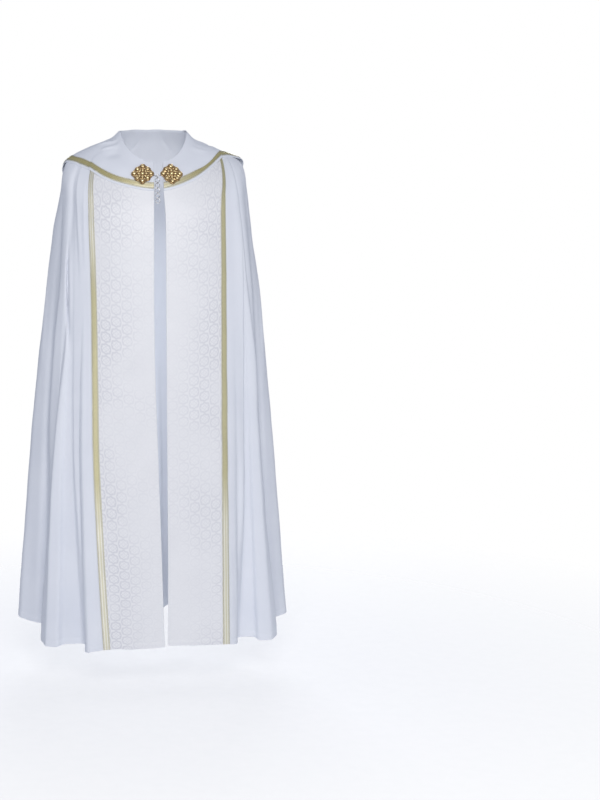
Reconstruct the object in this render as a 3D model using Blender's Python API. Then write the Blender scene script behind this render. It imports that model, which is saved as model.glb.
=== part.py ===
"""A white cope: a semicircular liturgical cloak as it hangs on the shoulders.

The cloth is a wall 2 mm thick. Its middle surface is worked out from SECTIONS (level rings
around the body, from the neck to the hem) and FOLDS (where each crest and tuck of the hem
stands and how high up it starts). Every panel, the hood and the braids are cut from this
one surface and moved out by their own height.

Metres, +Z up, the front faces -Y. The origin is the middle of the neck opening, level with
the sides of the neck, where the wearer's shoulders hold the garment.
"""

import math

import bmesh
import bpy
import numpy as np
from mathutils import Matrix, Vector

# Cloth and seams
WALL = 0.002  # two layers of wool blend with the seam allowances pressed in
HOOD_WALL = 0.0016
BRAID_THICKNESS = 0.001
SEAM_GAP = 0.0004  # clear space between pieces that are sewn to each other
BRAID_WIDTH = 0.018
ORPHREY_WIDTH = 0.168  # the patterned band along each front edge
HOOD_LIFT_AT_NECK = 0.0023  # middle of the hood above the middle of the mantle
HOOD_LIFT = 0.0046
HOOD_LIFT_RUN = 0.05  # way down from the neck over which the hood reaches its full lift
HOOD_MARGIN = 0.006  # plain cloth outside the braid on the hood
SIDE_Y = 0.02  # the widest line of every ring stands this far behind the neck's middle

# Level rings. down: way along the cloth from the neck; side_x, side_z: the widest point;
# front and back: depth and height of the ring's middle; square: 2 is an ellipse, more is
# squarer; ridge: how softly the ring rolls over the shoulder; left_x, right_x: front edges;
# left_seam, right_seam: where the seams between the body and the orphreys cross the ring.
SECTION_COLUMNS = (
    "down", "side_x", "side_z", "front_y", "front_z", "back_y", "back_z",
    "square", "ridge", "left_x", "right_x", "left_seam", "right_seam",
)  # fmt: skip
SECTIONS = {
    "neck": (0.0, 0.089, 0.006, -0.08, -0.083, 0.07, 0.014, 2.0, 0.12, -0.008, 0.0186, -0.0845, 0.0845),
    "neck roll": (0.024, 0.107, -0.013, -0.092, -0.102, 0.088, -0.006, 2.0, 0.15, -0.008, 0.018, -0.101, 0.101),
    "collar": (0.06, 0.14, -0.0275, -0.106, -0.128, 0.104, -0.036, 2.05, 0.2, -0.008, 0.0175, -0.132, 0.132),
    "yoke": (0.1, 0.179, -0.043, -0.118, -0.158, 0.12, -0.076, 2.1, 0.25, -0.008, 0.018, -0.165, 0.165),
    "shoulder": (0.14, 0.217, -0.06, -0.128, -0.193, 0.132, -0.122, 2.2, 0.28, -0.009, 0.02, -0.178, 0.18),
    "rounding": (0.165, 0.238, -0.074, -0.133, -0.217, 0.138, -0.152, 2.3, 0.3, -0.0095, 0.0215, -0.18, 0.185),
    "point": (0.185, 0.246, -0.0905, -0.136, -0.236, 0.142, -0.176, 2.35, 0.3, -0.0098, 0.0218, -0.18, 0.1865),
    "arm": (0.235, 0.2535, -0.139, -0.14, -0.285, 0.147, -0.228, 2.35, 0.3, -0.01, 0.0222, -0.1795, 0.187),
    "chest": (0.4, 0.2755, -0.3, -0.145, -0.45, 0.155, -0.4, 2.3, 0.3, -0.0102, 0.0226, -0.1755, 0.187),
    "waist": (0.56, 0.295, -0.458, -0.15, -0.6, 0.162, -0.565, 2.3, 0.3, -0.0085, 0.0232, -0.1745, 0.187),
    "hip": (0.87, 0.3275, -0.765, -0.16, -0.885, 0.185, -0.87, 2.25, 0.3, 0.0005, 0.0247, -0.173, 0.188),
    "knee": (1.11, 0.349, -1.002, -0.172, -1.11, 0.21, -1.105, 2.2, 0.3, 0.0075, 0.0258, -0.164, 0.1895),
    "hem": (1.45, 0.377, -1.338, -0.19, -1.366, 0.245, -1.366, 2.2, 0.3, 0.015, 0.0242, -0.15, 0.19),
}  # fmt: skip

# The hem, from the left front edge over the left seam (around = 0), the back (0.5) and the
# right seam (1) to the right front edge. x, y, z: where it hangs; start: how far down the
# cloth the fold begins.
ORPHREY_SPAN = 0.15  # each orphrey takes this much of the way around
FOLD_COLUMNS = ("around", "x", "y", "z", "start")
FOLDS = {
    "left edge": (-0.15, 0.015, -0.187, -1.366, 0.5),
    "left middle": (-0.07, -0.07, -0.2, -1.367, 0.5),
    "left seam": (0.0, -0.15, -0.206, -1.366, 0.5),
    "left margin": (0.012, -0.176, -0.209, -1.368, 0.5),
    "left corner": (0.024, -0.1965, -0.199, -1.371, 0.5),
    "left tuck": (0.036, -0.193, -0.132, -1.368, 0.5),
    "left lap": (0.05, -0.238, -0.113, -1.367, 0.3),
    "left lap crest": (0.064, -0.288, -0.136, -1.372, 0.18),
    "left lap turn": (0.078, -0.311, -0.088, -1.368, 0.14),
    "left side tuck": (0.104, -0.294, -0.006, -1.352, 0.14),
    "left side": (0.13, -0.337, 0.028, -1.345, 0.16),
    "left side crest": (0.16, -0.377, 0.074, -1.337, 0.2),
    "left rear in": (0.198, -0.322, 0.122, -1.346, 0.24),
    "left rear out": (0.24, -0.338, 0.205, -1.352, 0.26),
    "back 1 in": (0.286, -0.264, 0.166, -1.358, 0.28),
    "back 1 out": (0.334, -0.23, 0.266, -1.364, 0.3),
    "back 2 in": (0.38, -0.184, 0.19, -1.364, 0.32),
    "back 2 out": (0.422, -0.128, 0.286, -1.368, 0.34),
    "back 3 in": (0.462, -0.064, 0.204, -1.366, 0.34),
    "back 3 out": (0.484, -0.029, 0.262, -1.369, 0.36),
    "back 4 in": (0.508, 0.009, 0.22, -1.368, 0.36),
    "back 4 out": (0.556, 0.092, 0.292, -1.369, 0.34),
    "back 5 in": (0.606, 0.17, 0.194, -1.366, 0.32),
    "back 5 out": (0.652, 0.234, 0.274, -1.367, 0.3),
    "back 6 in": (0.7, 0.27, 0.172, -1.362, 0.28),
    "right rear out": (0.748, 0.334, 0.212, -1.358, 0.26),
    "right rear in": (0.796, 0.326, 0.122, -1.352, 0.24),
    "right side crest": (0.838, 0.385, 0.072, -1.342, 0.2),
    "right side": (0.868, 0.347, 0.028, -1.347, 0.16),
    "right side tuck": (0.896, 0.304, -0.006, -1.353, 0.14),
    "right lap turn": (0.922, 0.329, -0.08, -1.367, 0.14),
    "right lap crest": (0.936, 0.297, -0.121, -1.37, 0.18),
    "right lap": (0.95, 0.254, -0.074, -1.363, 0.3),
    "right tuck": (0.964, 0.209, -0.096, -1.364, 0.5),
    "right corner": (0.979, 0.2125, -0.169, -1.364, 0.5),
    "right margin": (0.989, 0.2035, -0.181, -1.364, 0.5),
    "right seam": (1.0, 0.19, -0.184, -1.363, 0.5),
    "right middle": (1.07, 0.107, -0.188, -1.363, 0.5),
    "right edge": (1.15, 0.0242, -0.187, -1.362, 0.5),
}  # fmt: skip
FOLD_GROWTH = 1.25  # 1 grows a fold evenly from its start, more keeps it shallow for longer
FOLD_ROUNDNESS = 2.2  # 1 gives narrow crests and slanting sides, 3 round crests and steep sides

# How deep the hood hangs, measured down the cloth from the neck seam.
HOOD_COLUMNS = ("around", "depth")
HOOD_DEPTHS = {
    "left front": (-0.15, 0.098),
    "left collarbone": (-0.1, 0.099),
    "left chest": (-0.05, 0.108),
    "left seam": (0.0, 0.119),
    "left arm": (0.08, 0.136),
    "left shoulder": (0.15, 0.166),
    "left blade": (0.25, 0.202),
    "left slope": (0.32, 0.238),
    "left back": (0.36, 0.272),
    "left point side": (0.42, 0.334),
    "back point": (0.5035, 0.41),
    "right point side": (0.585, 0.334),
    "right back": (0.645, 0.272),
    "right slope": (0.685, 0.238),
    "right blade": (0.755, 0.202),
    "right shoulder": (0.855, 0.162),
    "right arm": (0.925, 0.13),
    "right seam": (1.0, 0.11),
    "right chest": (1.05, 0.096),
    "right collarbone": (1.1, 0.092),
    "right front": (1.15, 0.098),
}

# Clasps, hook, eye and chain
CLASP_PLACES = {"left": (-0.1205, 0.0475), "right": (1.1260, 0.0475)}  # around, down
CLASP_RADIUS = 0.0265
CLASP_LOBES = 4
CLASP_LOBE_DEPTH = 0.085
CLASP_LIFT = 0.0016  # back of the plate above the hood's outer face
CLASP_STEPS = 24
# The turned section of a clasp: share of the radius, height above the plate's back.
CLASP_SECTION = (
    (1.00, 0.0000), (1.00, 0.0014), (0.93, 0.0021), (0.80, 0.0021), (0.68, 0.0014),
    (0.50, 0.0024), (0.36, 0.0016), (0.21, 0.0034), (0.10, 0.0042),
)  # fmt: skip
WIRE = 0.0016
EYE_CENTRE = Vector((0.0005, -0.1178, -0.1170))
EYE_RADIUS = 0.0037
EYE_TURN = (20, 330)  # degrees of the eye's loop, from its shank round to its open end
EYE_POINTS = 22
EYE_SHANK = ((0.0102, -0.1104, -0.1146), (0.0085, -0.1138, -0.1158), (0.0062, -0.1166, -0.1162))
HOOK_BENDS = (
    (-0.0075, -0.1106, -0.1150), (-0.0064, -0.1148, -0.1162), (-0.0048, -0.1184, -0.1168),
    (-0.0030, -0.1201, -0.1170), (-0.0008, -0.1196, -0.1170), (0.0004, -0.1180, -0.1170),
    (0.0000, -0.1163, -0.1170), (-0.0018, -0.1154, -0.1170), (-0.0040, -0.1152, -0.1168),
)  # fmt: skip
CHAIN_SLOPE = math.radians(14.6)  # the chain leans on the slope of the chest
RING_RADIUS = 0.0058
LINK_RADIUS = 0.0029
LINK_WIRE = 0.0013
METAL_PLAY = 0.0003  # clear space between metal pieces that touch
CHAIN_RINGS = 5
RING_STEPS = 18
LINK_STEPS = 12

# Rows of the meshes, as ways down the cloth, and columns across one orphrey.
MANTLE_ROWS = (
    0.0, 0.012, 0.03, 0.06, 0.09, 0.115, 0.14, 0.157, 0.173, 0.19, 0.215, 0.26, 0.33,
    0.42, 0.53, 0.66, 0.80, 0.95, 1.11, 1.28, 1.45,
)  # fmt: skip
ORPHREY_COLUMNS = (0.0, 0.2, 0.4, 0.6, 0.76)  # shares of its width, then the braid's own
NARROW_FOLD = 0.03  # a stretch of the hem with one column between its crest and its tuck
FOLD_COLUMN_SHARES = (0.2, 0.8)  # places of the two columns in a wider stretch
HOOD_ROWS = 9  # from the neck to the braid
HOOD_ROW_GROWTH = 1.5  # closer rows where the cloth rolls over at the neck
HOOD_HALF_COLUMNS = 23  # from each seam to the back point
BRAID_TOP = 0.09  # the front braids start here, under the hood
RING_SAMPLES = 361
EDGE_SAMPLES = 120
TUBE_SIDES = 6
NUDGE = 0.001  # step for slopes of the surface
MERGE = 1e-6  # points closer than this are one

# Finish of each sub-part: colour, roughness, metallic.
FINISHES = {
    "white_cloth": ((0.80, 0.82, 0.88), 0.85, 0.0),
    "damask": ((0.8, 0.8, 0.84), 0.6, 0.0),
    "gold_braid": ((0.66, 0.60, 0.34), 0.50, 0.3),
    "antique_gold": ((0.60, 0.40, 0.16), 0.35, 1.0),
    "silver_wire": ((0.72, 0.70, 0.68), 0.30, 1.0),
}


def by_column(table, columns):
    """The table turned round: one array for each named column."""
    return {name: np.array(values) for name, *values in zip(columns, *table.values())}


SECTION = by_column(SECTIONS, SECTION_COLUMNS)
FOLD = by_column(FOLDS, FOLD_COLUMNS)
HOOD = by_column(HOOD_DEPTHS, HOOD_COLUMNS)


def smooth(at, knots, values, gain=1):
    """A curve with no corners through the values at the knots; gain lengthens its tangents."""
    at = np.clip(at, knots[0], knots[-1])
    step = np.diff(knots)
    slope = np.diff(values) / step
    tangent = np.empty(len(knots))
    tangent[1:-1] = (step[:-1] * slope[1:] + step[1:] * slope[:-1]) / (step[:-1] + step[1:])
    tangent[0], tangent[-1] = slope[0], slope[-1]
    tangent *= gain
    i = np.clip(np.searchsorted(knots, at, side="right") - 1, 0, len(step) - 1)
    h = step[i]
    t = (at - knots[i]) / h
    return (
        values[i] * (1 + 2 * t) * (1 - t) ** 2
        + tangent[i] * h * t * (1 - t) ** 2
        + values[i + 1] * t**2 * (3 - 2 * t)
        - tangent[i + 1] * h * t**2 * (1 - t)
    )


def section(name, down):
    """One measure of the rings at the given ways down the cloth."""
    return smooth(down, SECTION["down"], SECTION[name])


def fold(name, around):
    """One measure of the hem at the given places around it, with round crests on the body."""
    first, last = (FOLDS[f"{side} margin"][0] for side in ("left", "right"))
    on_body = (FOLD["around"] > first) & (FOLD["around"] < last)
    return smooth(around, FOLD["around"], FOLD[name], np.where(on_body, FOLD_ROUNDNESS, 1))


def ring(down):
    """Points of the unfolded ring at one way down, from the left to the right front edge."""
    power = 2 / section("square", down)
    half, left, right = (section(n, down) for n in ("side_x", "left_x", "right_x"))
    start = -math.copysign(math.asin((abs(left) / half) ** (1 / power)), left)
    end = 2 * math.pi - math.asin((right / half) ** (1 / power))
    turn = np.linspace(start, end, RING_SAMPLES)
    sine, cosine = np.sin(turn), np.cos(turn)
    x = -half * np.sign(sine) * np.abs(sine) ** power
    share = np.abs(cosine) ** power
    in_front = cosine > 0
    reach = np.where(in_front, section("front_y", down) - SIDE_Y, section("back_y", down) - SIDE_Y)
    drop = np.where(in_front, section("front_z", down), section("back_z", down))
    side_z, ridge = section("side_z", down), section("ridge", down)
    rolled = (np.sqrt(share**2 + ridge**2) - ridge) / (math.hypot(1, ridge) - ridge)
    return np.stack([x, SIDE_Y + reach * share, side_z + (drop - side_z) * rolled], 1)


def on_ring(around, down):
    """Where the places around the garment lie on the unfolded ring at one way down."""
    points = ring(down)
    way = np.concatenate([[0], np.cumsum(np.hypot(*np.diff(points[:, :2], axis=0).T))])
    quarter = RING_SAMPLES // 4
    outward, inward = -points[:quarter, 0], -points[-quarter:, 0]
    left_seam = np.interp(-section("left_seam", down), outward, way[:quarter])
    right_seam = np.interp(-section("right_seam", down), inward, way[-quarter:])
    ends = [-ORPHREY_SPAN, 0, 1, 1 + ORPHREY_SPAN]
    at = np.interp(around, ends, [0, left_seam, right_seam, way[-1]])
    return np.stack([np.interp(at, way, points[:, i]) for i in range(3)], 1)


def cloth(around, down):
    """The middle surface of the mantle, for arrays of the same length."""
    around, down = np.asarray(around, float), np.asarray(down, float)
    hem_down = SECTIONS["hem"][0]
    out = np.empty((len(around), 3))
    for level in np.unique(down):
        same = down == level
        out[same] = on_ring(around[same], level)
    hem = np.stack([fold(n, around) for n in ("x", "y", "z")], 1)
    start = smooth(around, FOLD["around"], FOLD["start"])
    grown = np.clip((down - start) / (hem_down - start), 0, 1) ** FOLD_GROWTH
    return out + grown[:, None] * (hem - on_ring(around, hem_down))


def outward(around, down):
    """Unit vectors that point out of the cloth."""
    last = 1 + ORPHREY_SPAN
    hem_down = SECTIONS["hem"][0]
    on, back = (np.clip(around + n, -ORPHREY_SPAN, last) for n in (NUDGE, -NUDGE))
    below, above = (np.clip(down + n, 0, hem_down) for n in (NUDGE, -NUDGE))
    across = cloth(on, down) - cloth(back, down)
    along = cloth(around, below) - cloth(around, above)
    out = np.cross(across, along)
    return out / np.linalg.norm(out, axis=1, keepdims=True)


def hood_depth(around):
    """How far down the hood reaches; its two halves meet in a sharp point at the back."""
    left, right = (smooth(around, *half_of_hood(half)) for half in (-1, 1))
    return np.where(around <= HOOD_DEPTHS["back point"][0], left, right)


def inside_hood_edge(around, inset):
    """How far down the line lies that runs inside the hood's edge at an even distance."""
    tip = HOOD_DEPTHS["back point"][0]
    result = np.empty(len(around))
    for half in (-1, 1):
        ends = (-ORPHREY_SPAN, tip) if half < 0 else (tip, 1 + ORPHREY_SPAN)
        along = np.linspace(*ends, EDGE_SAMPLES)
        edge = smooth(along, *half_of_hood(half))
        across = (cloth(along + NUDGE, edge) - cloth(along - NUDGE, edge)) / (2 * NUDGE)
        fall = (cloth(along, edge + NUDGE) - cloth(along, edge - NUDGE)) / (2 * NUDGE)
        run = across + np.gradient(edge, along)[:, None] * fall
        inward = np.cross(run, outward(along, edge))
        inward /= np.linalg.norm(inward, axis=1, keepdims=True)
        basis = np.stack([across, fall], 2)
        shift = np.einsum("nij,nj->ni", np.linalg.pinv(basis), inward) * inset
        moved = along + shift[:, 0]
        order = np.argsort(moved)
        mine = around <= tip if half < 0 else around >= tip
        result[mine] = np.interp(around[mine], moved[order], (edge + shift[:, 1])[order])
    return result


def half_of_hood(half):
    """The knots and depths of the hood's left (-1) or right (1) half."""
    tip = list(HOOD_DEPTHS).index("back point")
    part = slice(0, tip + 1) if half < 0 else slice(tip, None)
    return HOOD["around"][part], HOOD["depth"][part]


def hood_lift(down):
    """How far the hood's middle lies above the mantle's, less at the neck seam."""
    share = np.clip(down / HOOD_LIFT_RUN, 0, 1)
    return HOOD_LIFT_AT_NECK + (HOOD_LIFT - HOOD_LIFT_AT_NECK) * share


# --- making the objects ---


def finish(name):
    """The material of one sub-part."""
    colour, roughness, metallic = FINISHES[name]
    material = bpy.data.materials.new(name)
    material.use_nodes = True
    shader = material.node_tree.nodes["Principled BSDF"]
    shader.inputs["Base Color"].default_value = (*colour, 1)
    shader.inputs["Roughness"].default_value = roughness
    shader.inputs["Metallic"].default_value = metallic
    material.diffuse_color = (*colour, 1)
    return material


def add_object(name, data, material):
    """One named object in the scene, with its material."""
    obj = bpy.data.objects.new(name, data)
    data.materials.append(material)
    bpy.context.collection.objects.link(obj)
    return obj


def add_mesh(name, bm, material):
    """One object from a bmesh, shaded smooth."""
    mesh = bpy.data.meshes.new(name)
    bm.to_mesh(mesh)
    bm.free()
    mesh.shade_smooth()
    return add_object(name, mesh, material)


def add_cloth(name, points, wall, material):
    """A piece of cloth: a grid laid over rows of points, with the wall's thickness."""
    rows, columns = points.shape[:2]
    bm = bmesh.new()
    bmesh.ops.create_grid(bm, x_segments=columns - 1, y_segments=rows - 1, size=1)
    for vertex, place in zip(bm.verts, points.reshape(-1, 3)):
        vertex.co = place
    obj = add_mesh(name, bm, material)
    thick = obj.modifiers.new("wall", "SOLIDIFY")
    thick.thickness = wall
    thick.offset = 0
    thick.use_even_offset = True
    return obj


def grid(around, down, lift=None):
    """Points of the cloth over a grid of places, moved out by a lift."""
    shape = around.shape
    points = cloth(around.ravel(), down.ravel())
    if lift is not None:
        points = points + outward(around.ravel(), down.ravel()) * lift.reshape(-1, 1)
    return points.reshape(*shape, 3)


def trim(points, sides):
    """Draws the first (0) or last (-1) column in by half of the seam gap."""
    for side in sides:
        neighbour = 1 if side == 0 else -2
        way = points[:, neighbour] - points[:, side]
        way /= np.linalg.norm(way, axis=1, keepdims=True)
        points[:, side] += way * SEAM_GAP / 2
    return points


def mantle_columns():
    """Places around the mantle: each crest and tuck, with one or two more between them."""
    knots = FOLD["around"][(FOLD["around"] >= 0) & (FOLD["around"] <= 1)]
    places = [0.0]
    for start, end in zip(knots, knots[1:]):
        shares = (0.5,) if end - start < NARROW_FOLD else FOLD_COLUMN_SHARES
        places += [start + (end - start) * share for share in (*shares, 1)]
    return np.array(places)


def orphrey_columns(side):
    """Places across one orphrey, from its front edge to its seam."""
    braid = 1 - BRAID_WIDTH / ORPHREY_WIDTH
    shares = np.array([*ORPHREY_COLUMNS, braid, (1 + braid) / 2, 1])
    return -ORPHREY_SPAN * (1 - shares) if side < 0 else (1 + ORPHREY_SPAN * (1 - shares))[::-1]


def add_mantle(cloth_finish):
    """The plain body of the cope, from seam to seam around the back."""
    around, down = np.meshgrid(mantle_columns(), MANTLE_ROWS)
    add_cloth("mantle", trim(grid(around, down), (0, -1)), WALL, cloth_finish)


def add_front(name, side, damask, braid):
    """One orphrey with its braid along the outer edge."""
    columns = orphrey_columns(side)
    around, down = np.meshgrid(columns, MANTLE_ROWS)
    seam = (-1,) if side < 0 else (0,)
    add_cloth(f"orphrey_{name}", trim(grid(around, down), seam), WALL, damask)
    rows = [row for row in MANTLE_ROWS if row >= BRAID_TOP]
    around, down = np.meshgrid(columns[-3:] if side < 0 else columns[:3], rows)
    lift = np.full(around.shape, (WALL + BRAID_THICKNESS) / 2 + SEAM_GAP)
    strip = trim(grid(around, down, lift), seam)
    add_cloth(f"galloon_{name}", strip, BRAID_THICKNESS, braid)


def add_hood(cloth_finish, braid):
    """The hood and the two braids that meet in its back point."""
    tip = HOOD_DEPTHS["back point"][0]
    left, right = (np.linspace(*ends, HOOD_HALF_COLUMNS) for ends in ((0, tip), (tip, 1)))
    around = np.concatenate([orphrey_columns(-1), left[1:], right[1:], orphrey_columns(1)[1:]])
    edges = [HOOD_MARGIN + BRAID_WIDTH, HOOD_MARGIN + BRAID_WIDTH / 2, HOOD_MARGIN]
    lines = [inside_hood_edge(around, inset) for inset in edges]
    shares = np.linspace(0, 1, HOOD_ROWS, endpoint=False) ** HOOD_ROW_GROWTH
    rows = [lines[0] * share for share in shares] + lines + [hood_depth(around)]
    down = np.stack(rows)
    around = np.broadcast_to(around, down.shape)
    lift = hood_lift(down)
    add_cloth("hood", grid(around, down, lift), HOOD_WALL, cloth_finish)
    strip_lift = lift + (HOOD_WALL + BRAID_THICKNESS) / 2 + SEAM_GAP
    middle = int(np.searchsorted(around[0], tip))
    for name, part, seam in (("left", slice(0, middle + 1), -1), ("right", slice(middle, None), 0)):
        strip = (array[HOOD_ROWS : HOOD_ROWS + 3, part] for array in (around, down, strip_lift))
        points = trim(grid(*strip), (seam,))
        add_cloth(f"hood_galloon_{name}", points, BRAID_THICKNESS, braid)


def clasp_frame(place):
    """The matrix that seats a clasp on the hood, its face along local Z."""
    around, down = (np.array([value]) for value in place)
    out = Vector(outward(around, down)[0])
    lift = float(hood_lift(down)[0]) + HOOD_WALL / 2 + CLASP_LIFT
    seat = Vector(cloth(around, down)[0]) + out * lift
    across = Vector((0, 0, 1)).cross(out).normalized()
    turn = Matrix((across, out.cross(across), out)).transposed()
    return Matrix.Translation(seat) @ turn.to_4x4()


def add_clasp(name, place, gold):
    """A lobed rosette, turned from its section and then drawn out into lobes."""
    bm = bmesh.new()
    section_points = [Vector((share * CLASP_RADIUS, 0, z)) for share, z in CLASP_SECTION]
    section_points = [Vector((0, 0, 0))] + section_points + [Vector((0, 0, CLASP_SECTION[-1][1]))]
    verts = [bm.verts.new(point) for point in section_points]
    edges = [bm.edges.new(pair) for pair in zip(verts, verts[1:])]
    bmesh.ops.spin(
        bm, geom=verts + edges, cent=(0, 0, 0), axis=(0, 0, 1),
        angle=2 * math.pi, steps=CLASP_STEPS, use_merge=True,
    )  # fmt: skip
    bmesh.ops.remove_doubles(bm, verts=bm.verts, dist=MERGE)
    for vertex in bm.verts:
        turn = math.atan2(vertex.co.y, vertex.co.x)
        reach = 1 + CLASP_LOBE_DEPTH * math.cos(CLASP_LOBES * turn)
        vertex.co.x *= reach
        vertex.co.y *= reach
    bmesh.ops.recalc_face_normals(bm, faces=bm.faces)
    obj = add_mesh(f"clasp_{name}", bm, gold)
    obj.matrix_world = clasp_frame(place)


def clasp_tip(name):
    """Where a wire is soldered beside the lobe that faces the other clasp."""
    side = 1 if name == "left" else -1
    reach = CLASP_RADIUS * (1 + CLASP_LOBE_DEPTH) + METAL_PLAY + WIRE / 2
    half_rim = CLASP_SECTION[1][1] / 2
    return clasp_frame(CLASP_PLACES[name]) @ Vector((side * reach, 0, half_rim))


def add_wire(name, points, material):
    """A round wire bent through the points, with flat ends."""
    curve = bpy.data.curves.new(name, "CURVE")
    curve.dimensions = "3D"
    curve.bevel_depth = WIRE / 2
    curve.bevel_resolution = 1
    curve.use_fill_caps = True
    spline = curve.splines.new("POLY")
    spline.points.add(len(points) - 1)
    for point, place in zip(spline.points, points):
        point.co = (*place, 1)
    return add_object(name, curve, material)


def chain_place(across, fall):
    """A point of the chain's plane, measured from the middle of the eye."""
    down = Vector((0, -math.sin(CHAIN_SLOPE), -math.cos(CHAIN_SLOPE)))
    return EYE_CENTRE + Vector((across, 0, 0)) + down * fall


def add_ring(name, middle, radius, wire, edge_on, material):
    """One closed ring of round wire; edge_on turns it to thread its neighbours."""
    steps = LINK_STEPS if edge_on else RING_STEPS
    bm = bmesh.new()
    bmesh.ops.create_circle(
        bm, radius=wire / 2, segments=TUBE_SIDES, matrix=Matrix.Translation((radius, 0, 0))
        @ Matrix.Rotation(math.pi / 2, 4, "X"),
    )  # fmt: skip
    bmesh.ops.spin(
        bm, geom=bm.verts[:] + bm.edges[:], cent=(0, 0, 0), axis=(0, 0, 1),
        angle=2 * math.pi, steps=steps, use_merge=True,
    )  # fmt: skip
    bmesh.ops.remove_doubles(bm, verts=bm.verts, dist=MERGE)
    bmesh.ops.recalc_face_normals(bm, faces=bm.faces)
    obj = add_mesh(name, bm, material)
    lean = Matrix.Rotation(math.pi / 2 - CHAIN_SLOPE, 4, "X")
    obj.matrix_world = Matrix.Translation(middle) @ lean
    if edge_on:
        obj.matrix_world = obj.matrix_world @ Matrix.Rotation(math.pi / 2, 4, "Y")


def add_closure(silver):
    """The hook, the eye that it has caught, and the chain that hangs from the eye."""
    add_wire("clasp_hook", [clasp_tip("left"), *HOOK_BENDS], silver)
    turns = np.radians(np.linspace(*EYE_TURN, EYE_POINTS))
    loop = [chain_place(EYE_RADIUS * math.cos(t), -EYE_RADIUS * math.sin(t)) for t in turns]
    add_wire("clasp_eye", [clasp_tip("right"), *EYE_SHANK, *loop], silver)
    seat = (WIRE + LINK_WIRE) / 2 + METAL_PLAY  # from a wire's middle to the link round it
    pitch = 2 * (RING_RADIUS + LINK_RADIUS - seat)
    pivot = EYE_RADIUS
    for number in range(1, CHAIN_RINGS + 1):
        link = chain_place(0, pivot + LINK_RADIUS - seat)
        add_ring(f"chain_link_{number}", link, LINK_RADIUS, LINK_WIRE, True, silver)
        ring_fall = pivot + 2 * (LINK_RADIUS - seat) + RING_RADIUS
        add_ring(f"chain_ring_{number}", chain_place(0, ring_fall), RING_RADIUS, WIRE, False, silver)
        pivot += pitch


def main():
    """Builds the whole cope."""
    for old in list(bpy.data.objects):
        bpy.data.objects.remove(old)
    white, damask = finish("white_cloth"), finish("damask")
    braid, gold, silver = finish("gold_braid"), finish("antique_gold"), finish("silver_wire")
    add_mantle(white)
    add_front("left", -1, damask, braid)
    add_front("right", 1, damask, braid)
    add_hood(white, braid)
    for name, place in CLASP_PLACES.items():
        add_clasp(name, place, gold)
    add_closure(silver)


main()
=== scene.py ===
"""A worn white cope: twill mantle and hood, damask orphreys, gold galloon, cast clasp and chain.

The cloth is one draped surface, worked out from the same rings and folds as the construction
and given its creases here. Every piece of cloth, each braid and each stitch lies on it at its
own height. Metres, +Z up, the front faces -Y.
"""

import math
from functools import partial

import bpy
import numpy as np
from mathutils import Matrix, Vector


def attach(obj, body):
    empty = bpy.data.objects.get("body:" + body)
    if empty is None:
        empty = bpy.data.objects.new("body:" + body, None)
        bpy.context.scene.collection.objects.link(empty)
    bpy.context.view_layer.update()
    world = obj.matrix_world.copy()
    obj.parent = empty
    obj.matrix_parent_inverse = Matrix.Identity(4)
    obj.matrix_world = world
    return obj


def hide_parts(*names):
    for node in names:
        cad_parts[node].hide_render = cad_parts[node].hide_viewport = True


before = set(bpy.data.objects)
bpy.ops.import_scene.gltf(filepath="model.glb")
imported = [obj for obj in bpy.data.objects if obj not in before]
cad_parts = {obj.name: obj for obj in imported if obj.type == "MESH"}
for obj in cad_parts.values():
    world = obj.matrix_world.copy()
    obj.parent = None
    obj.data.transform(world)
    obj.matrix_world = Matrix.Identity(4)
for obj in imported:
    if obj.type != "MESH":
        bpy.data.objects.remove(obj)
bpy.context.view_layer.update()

# --- sizes ---

WALL = 0.002
HOOD_WALL = 0.0016
BRAID_THICKNESS = 0.001
SEAM_GAP = 0.0004
BRAID_WIDTH = 0.018
ORPHREY_WIDTH = 0.168
ORPHREY_SPAN = 0.15  # each orphrey takes this much of the way around
HOOD_LIFT_AT_NECK = 0.0023
HOOD_LIFT = 0.0046
HOOD_LIFT_RUN = 0.05
HOOD_MARGIN = 0.006
BRAID_TOP = 0.09
SIDE_Y = 0.02
FOLD_GROWTH = 1.25
FOLD_ROUNDNESS = 2.2
HEM_DOWN = 1.45

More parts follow.
